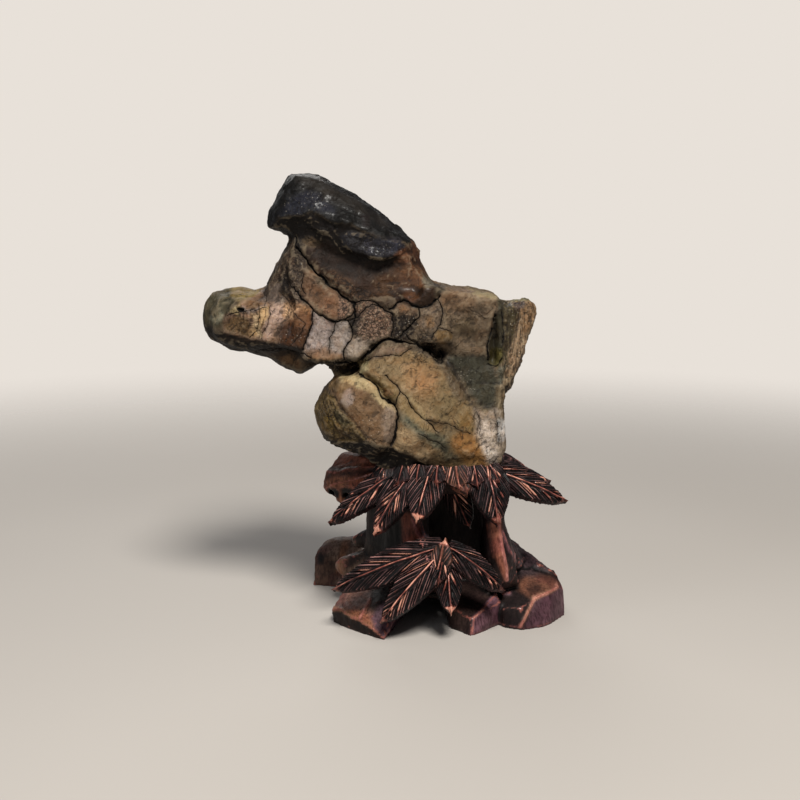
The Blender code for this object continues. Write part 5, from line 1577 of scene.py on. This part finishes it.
def wood_finish(name, crest, line, hollow, stretch, base, wear_and_highlight):
    """Stained wood: lacquer and painted shade in hollows, worn wood and painted highlights on
    crests.
    """
    finish = Finish(name, {"IOR": 1.5, "Specular IOR Level": 0.2, "Coat Roughness": 0.2})
    run = finish.place((0, 0, 0), stretch)
    grain = finish.cloud(1.4, 5.0, run, rough=0.65)
    mottle = finish.cloud(9.0, 5.0, warp=0.5, rough=0.6)
    base = base(finish)
    base = finish.mix((1 - mottle.between(0.38, 0.62)) * 0.5, base, MOTTLE_TINT, "MULTIPLY")
    plum = finish.cloud(15.0, 3.0, finish.place((30, 60, 0)))
    base = finish.mix(plum.between(0.46, 0.60) * 0.5, base, PLUM_TINT, "MULTIPLY")
    base = finish.mix(grain.between(0.44, 0.62) * 0.6, base, GRAIN_TINT, "MULTIPLY")
    line = line(finish) + (grain - 0.5) * 0.6
    # Fine lines painted pink as highlights.
    base = finish.mix(line.between(0.18, 0.85) * 0.80, base, PINK_LINE_HIGHLIGHT)
    crest = crest(finish)
    rubbed_and_lit = crest + (mottle - 0.5) * 0.6 + (grain - 0.5) * 0.6
    # Crests: copper, partly worn wood and partly painted highlight, then pale pink as a painted
    # highlight.
    base = finish.mix(rubbed_and_lit.between(0.35, 0.75) * wear_and_highlight, base, COPPER_WEAR_AND_HIGHLIGHT)
    base = finish.mix(rubbed_and_lit.between(0.70, 1.05) * wear_and_highlight, base, PINK_HIGHLIGHT)
    # Hollows darkened, partly as old lacquer and partly as painted shade.
    base = finish.mix(hollow(finish).between(0.12, 0.70) * 0.90, base, LACQUER_AND_SHADE)
    finish.set("Base Color", base)
    finish.set("Roughness", 0.40 + grain * 0.22)
    finish.set("Coat Weight", rubbed_and_lit.between(0.35, 0.9) * 0.5)
    fine = finish.cloud(0.8, 4.0, run, rough=0.65)
    finish.set("Normal", finish.bump(fine, 0.10, finish.bump(grain, 0.20)))
    return finish.material


def block_base(finish):
    return finish.painted_colour("stain_and_light")


def block_crest(finish):
    return finish.painted("edge_bulge") * 0.75 + finish.painted("broad_bulge") * 0.10


def block_line(finish):
    return finish.painted("edge_bulge") * 0.5


def block_hollow(finish):
    return 0.0 - (finish.painted("edge_bulge") * 0.5 + finish.painted("broad_bulge") * 0.7)


wood = wood_finish("stained_wood_with_painted_light", block_crest, block_line, block_hollow, (1, 1, 4), block_base,
                   0.75)
block.data.materials.append(wood)
block.data.shade_smooth()
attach(block, "root")
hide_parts("stand")
print("block finished")

# %% [markdown]
# ## The leaves
#
# Leaves hang over the trunks as a canopy, and a spray of five more fans out below. Each row gives
# a leaf's root, its tip, its width, how far it bows, the way it faces, and the distance between
# its cuts. The short collar leaves cover the rim, where the canopy meets the stone.

# %% Where the leaves are
LEAVES = {
    "canopy_1": ((8, -22, 95), (-39, -34, 64), 16, 4, (-0.25, -0.8, 0.55), 3.6),
    "canopy_2": ((6, -27, 89), (-14, -42, 60), 16, 3, (-0.35, -0.88, 0.3), 3.6),
    "canopy_3": ((19, -25, 96), (9, -46, 68), 20, 4, (-0.1, -0.85, 0.5), 4.0),
    "bract": ((32, -25, 96), (37, -39, 82), 16, 1.5, (0.1, -0.8, 0.6), 4.5),
    "canopy_4": ((28, -10, 83), (40, -19, 57), 15, 2, (-0.1, -1.0, 0.1), 3.8),
    "canopy_5": ((47, -24, 96), (54, -43, 66), 22, 4, (0.12, -0.85, 0.5), 4.2),
    "canopy_6": ((50, -20, 91), (94, -23, 73.5), 16, 2.5, (0.1, -0.82, 0.58), 4.2),
    "canopy_7": ((50, -4, 92), (87, -3, 80), 17, 1.5, (0.25, -0.35, 0.9), 5.0),
    "canopy_8": ((46, 14, 95), (82, 34, 72), 19, 5, (0.3, 0.3, 0.9), 4.2),
    "canopy_9": ((40, 22, 95), (52, 58, 66), 22, 5, (0.1, 0.7, 0.7), 4.2),
    "canopy_10": ((16, 26, 95), (8, 62, 64), 22, 5, (0.0, 0.75, 0.65), 4.2),
    "canopy_11": ((0, 22, 95), (-22, 54, 67), 20, 5, (-0.3, 0.6, 0.75), 4.2),
    "canopy_12": ((-12, 14, 94), (-40, 34, 71), 19, 4, (-0.4, 0.25, 0.9), 4.2),
    "spray_1": ((24, -40, 51), (-37, -38, 26), 19, 5, (-0.1, -0.82, 0.55), 4.2),
    "spray_2": ((24, -43, 49), (-10, -54, 13), 18, 4, (-0.3, -0.88, 0.4), 4.2),
    "spray_3": ((26, -43, 42), (28, -57, 19), 14, 1.5, (0.05, -1.0, 0.1), 4.2),
    "spray_4": ((25, -42, 50), (21, -53, 34), 10, 1.5, (-0.1, -1.0, 0.3), 3.6),
    "spray_5": ((26, -40, 51), (57, -45, 28), 15, 4, (0.15, -0.8, 0.6), 3.8),
    "bud": ((21, -49.5, 41), (25, -43.5, 56), 11, 1.0, (-0.25, -0.9, 0.35), 5.0),
    "collar_1": ((-7, -23.5, 95), (-13, -29, 86), 13, 0.6, (-0.5, -0.8, 0.3), 3.0),
    "collar_2": ((2, -27.5, 95.5), (-1, -32, 85), 13, 0.6, (-0.3, -0.9, 0.3), 3.0),
    "collar_3": ((11, -31.0, 96), (9, -35, 85), 13, 0.6, (-0.25, -0.9, 0.3), 3.0),
    "collar_4": ((21, -33.6, 96), (20, -37.5, 86), 13, 0.6, (-0.05, -0.95, 0.3), 3.0),
    "collar_5": ((31, -34.6, 96), (33, -38.5, 84), 14, 0.6, (0.0, -0.95, 0.3), 4.0),
    "collar_6": ((41, -33.6, 96), (43, -37.5, 85), 13, 0.6, (0.1, -0.95, 0.3), 3.0),
    "collar_7": ((50, -30.0, 95.5), (55, -34, 86), 13, 0.6, (0.35, -0.9, 0.3), 3.0),
}
print(len(LEAVES), "leaves to carve")

# %% [markdown]
# The leaves were not all finished alike. A few were left nearly smooth, so their cuts have only a
# share of the usual depth, and three were never stained dark. Some tips and some whole leaves get
# paler crests than the rest, partly worn wood and partly painted highlight.

# %% How the leaves differ
SMOOTH_LEAVES = {"canopy_7": 0.25, "bract": 0.30, "bud": 0.45, "collar_5": 0.3}
SMOOTH_LEAVES.update({f"collar_{n}": 0.5 for n in (1, 2, 3, 4, 6, 7)})
BROWN_LEAVES = ("bract", "collar_5", "bud")
USUAL_GLOW = 0.5
TIP_GLOW = {"canopy_2": 1.3, "canopy_3": 1.25, "canopy_5": 0.8, "spray_3": 1.4, "bud": 1.0}
RUBBED_AND_LIT = {"spray_1": 1.1, "spray_2": 1.4, "spray_3": 1.1, "canopy_3": 1.3, "canopy_6": 1.2}
print(len(SMOOTH_LEAVES), "smooth,", len(BROWN_LEAVES), "brown,", len(RUBBED_AND_LIT), "rubbed pale")

# %% [markdown]
# Each leaf is a pointed blade with a raised midrib and slanting cuts that run from it towards the
# tip. Seen from above it is a lens, cut off at its root so that it starts broad. A leaf is made a
# little wider, thicker and longer than the plain one in the block, so it covers that one.

# %% Outline of a leaf
LEAF_THICK = 3.4
SKIN = 0.45
POINT = 1.4
ROOT_AT = 0.16
FULLNESS = 0.75
LEAST_WIDTH = 0.05


def half_width(t, width):
    """Half the width of a blade, t of the way from its root to its tip."""
    lens = math.sin(math.pi * (ROOT_AT + (1.0 - ROOT_AT) * t) ** 0.9) ** FULLNESS
    return 0.5 * width * (LEAST_WIDTH + (1.0 - LEAST_WIDTH) * lens)


def bowed(t, across, half, bow):
    """The lift of a plain blade, which bows along its length and falls to its edges."""
    return 4 * bow * t * (1 - t) - 0.16 * half * across * across


print("a leaf 16 mm wide is", round(2 * half_width(0.0, 16), 1), "mm wide at its root")

# %% [markdown]
# The carver laid the cuts by eye, so no two are alike. Each strip between two cuts gets a chance
# of its own, which says how deep its cut is, where it starts and how far it has been rubbed. A
# strip with a high chance stands up as a bold vein near the midrib. The strips stay straight, but
# they crowd together and spread apart, so they never look like a comb.

# %% Cuts of a leaf
CUT_ANGLE = math.radians(22)
CROWDING = 0.24
RIB_HALF = 0.5
RIB_BEND = 0.4
GROOVE_HALF = 0.45


def chance(strip, leaf):
    """A number from 0 to 1 that is always the same for one strip of one leaf."""
    return (math.sin(12.9898 * strip + 78.233 * leaf) * 43758.5453) % 1.0


def carve_strip(reach, across, half, spacing, leaf):
    """Where a point lies in its strip, from groove 0 to crest 1, and the strip's chance."""
    side = 0.5 if across > 0.0 else 0.0
    row = 9.0 + (reach - abs(across) * half / math.tan(CUT_ANGLE)) / spacing
    row += CROWDING * math.sin(2.1 * row + 3.7 * leaf + 9.0 * side)
    return 1.0 - abs(2.0 * (row % 1.0) - 1.0), row % 1.0, chance(math.floor(row) + side, leaf)


def carve_rib(reach, across, half, leaf):
    """How much of a point is midrib, and how much is the groove beside it."""
    bend = RIB_BEND * noise.noise(Vector((reach / 12.0, 5.0, leaf)))
    off_rib = abs(across * half - bend)
    rib = math.exp(-((off_rib / RIB_HALF) ** 2))
    return rib, math.exp(-(((off_rib - 2.4 * RIB_HALF) / GROOVE_HALF) ** 2))


print("cuts lie", round(math.degrees(CUT_ANGLE)), "degrees off the midrib")

# %% [markdown]
# One function lifts a point of the blade, and another says how bright and how dark it is painted.
# The brightening is partly worn wood and partly painted highlight, lit more in some places than in
# others. It comes in streaks along the blade and in broad patches, on the midrib, the bold veins,
# the crests between cuts and the very tip, and the cuts are darkened, partly as lacquer and partly
# as painted shade. The edge is notched where the cuts run out.

# %% Relief of a leaf
CUT_DEPTH = 1.2
BOLD = 0.74
TOOTH = 0.35
LEAST_LIT = 0.4


def carve_point(reach, across, shape, depth, leaf):
    """The lift and the sideways reach of one point of a blade, and what was carved there."""
    length, width, bow, spacing = shape
    t = min(1.0, reach / length)
    taper = 1.0 - 0.90 * step(length - 4.0, length + POINT + 0.5, reach)
    half = (half_width(t, width) + SKIN) * taper
    ridge, _, luck = carve_strip(reach, across, half, spacing, leaf)
    start = 0.03 + 0.20 * ((7.0 * luck) % 1.0)
    blade = step(start, start + 0.10, abs(across))
    rib, beside_rib = carve_rib(reach, across, half, leaf)
    near_rib = step(0.06, 0.16, abs(across)) * (1.0 - step(0.50, 0.85, abs(across)))
    bold = step(BOLD - 0.02, BOLD + 0.02, luck) * near_rib
    cut = depth * blade * (0.55 + 0.65 * luck) * (1.0 - ridge) ** (1.1 + bold)
    lift = bowed(t, across, half, bow)
    lift += SKIN + 0.6 * depth * (1.0 - abs(across)) + 0.25 * depth
    lift += 0.5 * rib - 0.45 * depth * beside_rib - cut + 0.7 * bold * ridge
    _, saw, edge_luck = carve_strip(reach, math.copysign(1.0, across), half, spacing, leaf)
    tooth = TOOTH * (0.4 + edge_luck) * (saw - 0.6) * abs(across) ** 5
    spread = abs(across) * half + tooth * min(1.0, 6.0 * t * (1.0 - t))
    return lift, math.copysign(spread, across), (ridge, luck, blade, bold, rib, beside_rib)


def rub_and_light_point(reach, across, length, glow, leaf, carved):
    """How bright the crest and the fine line are painted at one point, and how dark the hollow."""
    ridge, luck, blade, bold, rib, beside_rib = carved
    t = min(1.0, reach / length)
    at_tip = glow * step(length - 4.5, length - 1.5, reach)
    streaks = 0.5 + 0.8 * noise.noise(Vector((reach / 7.0, 2.5 * across, leaf)))
    fine = 0.5 + 0.6 * ((3.0 * luck) % 1.0)
    lit = 0.75 + 1.0 * noise.noise(Vector((reach / 11.0, 1.2 * across, 20.0 + leaf)))
    lit = max(LEAST_LIT, lit)
    line = blade * step(0.66, 0.94, ridge) * fine * (0.6 + 0.6 * streaks) * lit
    broad = 1.7 * bold * step(0.12, 0.50, ridge) * (0.30 + 0.9 * streaks) * lit
    crest = max(rib * (0.25 + 0.6 * streaks + 0.35 * (1.0 - t)), broad, at_tip)
    hollow = max(blade * (1.0 - ridge) ** 1.1, 0.8 * beside_rib) * (1.0 - min(1.0, at_tip))
    return crest, line, hollow


print("cuts are up to", CUT_DEPTH, "mm deep")

# %% [markdown]
# A leaf starts as a flat grid whose points are lifted on to the blade's curve. The grid is much
# finer across the blade than along it, because the cuts run nearly along it. The sheet is then
# extruded back, which gives the blade its thickness and sets it into the block.

# %% Shape of a leaf
GRID_ALONG = 0.55
GRID_ACROSS = 0.22


def lift_points(bm, name, shape, leaf):
    """Moves the grid on to the carved blade and paints it. Gives the paint and the way back."""
    root, tip, width, bow, face, spacing = shape
    root, tip = Vector(root), Vector(tip)
    along = (tip - root).normalized()
    sideways = along.cross(Vector(face)).normalized()
    out = sideways.cross(along).normalized()
    length = (tip - root).length
    depth = CUT_DEPTH * SMOOTH_LEAVES.get(name, 1.0)
    layers = [bm.verts.layers.float.new(key) for key in ("crest", "line", "hollow")]
    glow, rubbed_and_lit = TIP_GLOW.get(name, USUAL_GLOW), RUBBED_AND_LIT.get(name, 1.0)
    for vert in bm.verts:
        reach, across = (length + POINT) * (vert.co.x + 0.5), 2.0 * vert.co.y
        lift, spread, carved = carve_point(reach, across, (length, width, bow, spacing), depth,
                                           leaf)
        crest, line, hollow = rub_and_light_point(reach, across, length, glow, leaf, carved)
        for layer, amount in zip(layers, (rubbed_and_lit * crest, rubbed_and_lit * line, hollow)):
            vert[layer] = amount
        vert.co = on_model(root + along * reach + sideways * spread + out * lift)
    return layers, -out * (LEAF_THICK + SKIN + depth) * MM


def make_leaf(name, shape, leaf):
    """One carved leaf: its blade, the cuts and midrib in it, and its back."""
    length, width = (Vector(shape[1]) - Vector(shape[0])).length, shape[2]
    bm = bmesh.new()
    bmesh.ops.create_grid(bm, x_segments=round(length / GRID_ALONG),
                          y_segments=2 * round(width / GRID_ACROSS / 2), size=0.5)
    layers, into_block = lift_points(bm, name, shape, leaf)
    back = bmesh.ops.extrude_face_region(bm, geom=list(bm.faces))["geom"]
    behind = [v for v in back if isinstance(v, bmesh.types.BMVert)]
    bmesh.ops.translate(bm, verts=behind, vec=into_block)
    for vert in behind:
        vert[layers[0]], vert[layers[1]], vert[layers[2]] = 0.1, 0.0, 0.0
    bmesh.ops.recalc_face_normals(bm, faces=bm.faces)
    mesh = bpy.data.meshes.new("leaf_" + name)
    bm.to_mesh(mesh)
    bm.free()
    made = bpy.data.objects.new("leaf_" + name, mesh)
    bpy.context.scene.collection.objects.link(made)
    return made


print("leaves are", LEAF_THICK, "mm thick under their carving")

# %% [markdown]
# The leaves share the finish of the block. What was painted while they were carved tells it where
# the crests, the fine lines and the hollows are, so it only needs the two woods under it: nearly
# black for most leaves, and brown for the three that were never stained.

# %% Finish and placing of the leaves
DARK_LEAF = (shade(27, 20, 22), shade(70, 48, 48))
BROWN_LEAF = (shade(66, 44, 36), shade(132, 88, 68))
LEAF_WEAR_AND_HIGHLIGHT = 0.92
SHARP_EDGE = math.radians(55)


def reads(name):
    """A function that reads, in any finish, what was painted under this name."""
    return lambda finish: finish.painted(name)


def leaf_finish(name, dark, light):
    """The finish of the wood, over a soft mottle of two tones."""
    def base(finish):
        return finish.mix(finish.cloud(7.0, 3.0).between(0.40, 0.62), dark, light)

    return wood_finish(name, reads("crest"), reads("line"), reads("hollow"), (1, 1, 1), base,
                       LEAF_WEAR_AND_HIGHLIGHT)


leaf_material = leaf_finish("carved_leaf", *DARK_LEAF)
bract_material = leaf_finish("carved_bract", *BROWN_LEAF)
for number, (name, shape) in enumerate(LEAVES.items()):
    leaf = make_leaf(name, shape, 1.0 + number)
    leaf.data.materials.append(bract_material if name in BROWN_LEAVES else leaf_material)
    leaf.data.shade_smooth()
    leaf.data.set_sharp_from_angle(angle=SHARP_EDGE)
    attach(leaf, "root")
print(len(LEAVES), "leaves carved")

# %% [markdown]
# ## Floor and light
#
# A plain pale floor shows how the feet of the stand meet the ground. It is a disc that fades out
# at its rim into a background of the same pale shade, so no horizon cuts across behind the stone.

# %% Floor
FLOOR_REACH = 1.3
FLOOR_FADE = (0.35, 1.2)
FLOOR_MOTTLE = 400.0
FLOOR_TONES = (shade(188, 182, 175), shade(196, 190, 183))


def make_floor():
    bm = bmesh.new()
    bmesh.ops.create_circle(bm, cap_ends=True, segments=96, radius=FLOOR_REACH)
    mesh = bpy.data.meshes.new("floor")
    bm.to_mesh(mesh)
    bm.free()
    floor = bpy.data.objects.new("floor", mesh)
    bpy.context.scene.collection.objects.link(floor)
    finish = Finish("pale_floor", {"Roughness": 0.7, "IOR": 1.3})
    finish.set("Base Color", finish.mix(finish.cloud(FLOOR_MOTTLE, 2.0), *FLOOR_TONES))
    where = finish.node("ShaderNodeTexCoord", output="Object")
    away = finish.node("ShaderNodeVectorMath", {"operation": "LENGTH"}, {0: where}, "Value")
    finish.set("Alpha", 1 - away.between(*FLOOR_FADE))
    floor.data.materials.append(finish.material)
    floor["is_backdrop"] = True


make_floor()
print("floor reaches", FLOOR_REACH, "m")

# %% [markdown]
# Large area lights give the soft light of a studio: a key from above and in front, a weak cool
# fill from the left, and a low light behind that parts the dark wood from its ground. Each row
# gives a light's name, its place and width in metres, its power and its colour. All of them point
# at the middle of the object.

# %% Lights
AIM = Vector((0.0, 0.0, 0.12))
LIGHTS = [
    ("key", (0.25, -0.85, 1.25), 0.45, 25.0, (1.0, 0.97, 0.92)),
    ("fill", (-1.2, -0.8, 0.7), 0.8, 3.0, (0.88, 0.93, 1.0)),
    ("rim", (-0.3, 1.1, 0.9), 0.8, 5.0, (1.0, 0.98, 0.95)),
]


def add_light(name, place, size, power, colour):
    light = bpy.data.lights.new(name, "AREA")
    light.shape = "DISK"
    light.size = size
    light.energy = power
    light.color = colour
    lamp = bpy.data.objects.new(name, light)
    bpy.context.scene.collection.objects.link(lamp)
    lamp.location = place
    lamp.rotation_euler = (AIM - Vector(place)).to_track_quat("-Z", "Y").to_euler()


for row in LIGHTS:
    add_light(*row)
print(len(LIGHTS), "lights placed")

# %% [markdown]
# The background is pale only where it is seen directly. What it sheds on the object is ten times
# dimmer and a little cool, so the hollows of the stone and the wood stay dark.

# %% Surroundings
PALE = (*shade(232, 225, 217), 1.0)
COOL = (0.90, 0.92, 1.0, 1.0)
SHED = 0.10


def make_surroundings():
    world = bpy.data.worlds.new("studio")
    world.use_nodes = True
    nodes, links = world.node_tree.nodes, world.node_tree.links
    dim, pale = nodes["Background"], nodes.new("ShaderNodeBackground")
    dim.inputs["Color"].default_value = COOL
    dim.inputs["Strength"].default_value = SHED
    pale.inputs["Color"].default_value = PALE
    choice = nodes.new("ShaderNodeMixShader")
    links.new(nodes.new("ShaderNodeLightPath").outputs["Is Camera Ray"], choice.inputs[0])
    links.new(dim.outputs[0], choice.inputs[1])
    links.new(pale.outputs[0], choice.inputs[2])
    links.new(choice.outputs[0], nodes["World Output"].inputs["Surface"])
    bpy.context.scene.world = world


make_surroundings()
bpy.context.scene.view_settings.view_transform = "Standard"
print("surroundings shed", SHED, "of full strength")

# %% [markdown]
# ## Finish
#
# The last cell notes the box of the plain solids and the box of the dressed object, so that the
# two can be compared, and prints both sizes in millimetres.

# %% Measure and hand over
dressed_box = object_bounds()
sizes = {"cad": [list(c) for c in cad_box], "visual": [list(c) for c in dressed_box]}
for key, (low, high) in sizes.items():
    print(key, [round((b - a) * 1000, 1) for a, b in zip(low, high)], "mm")
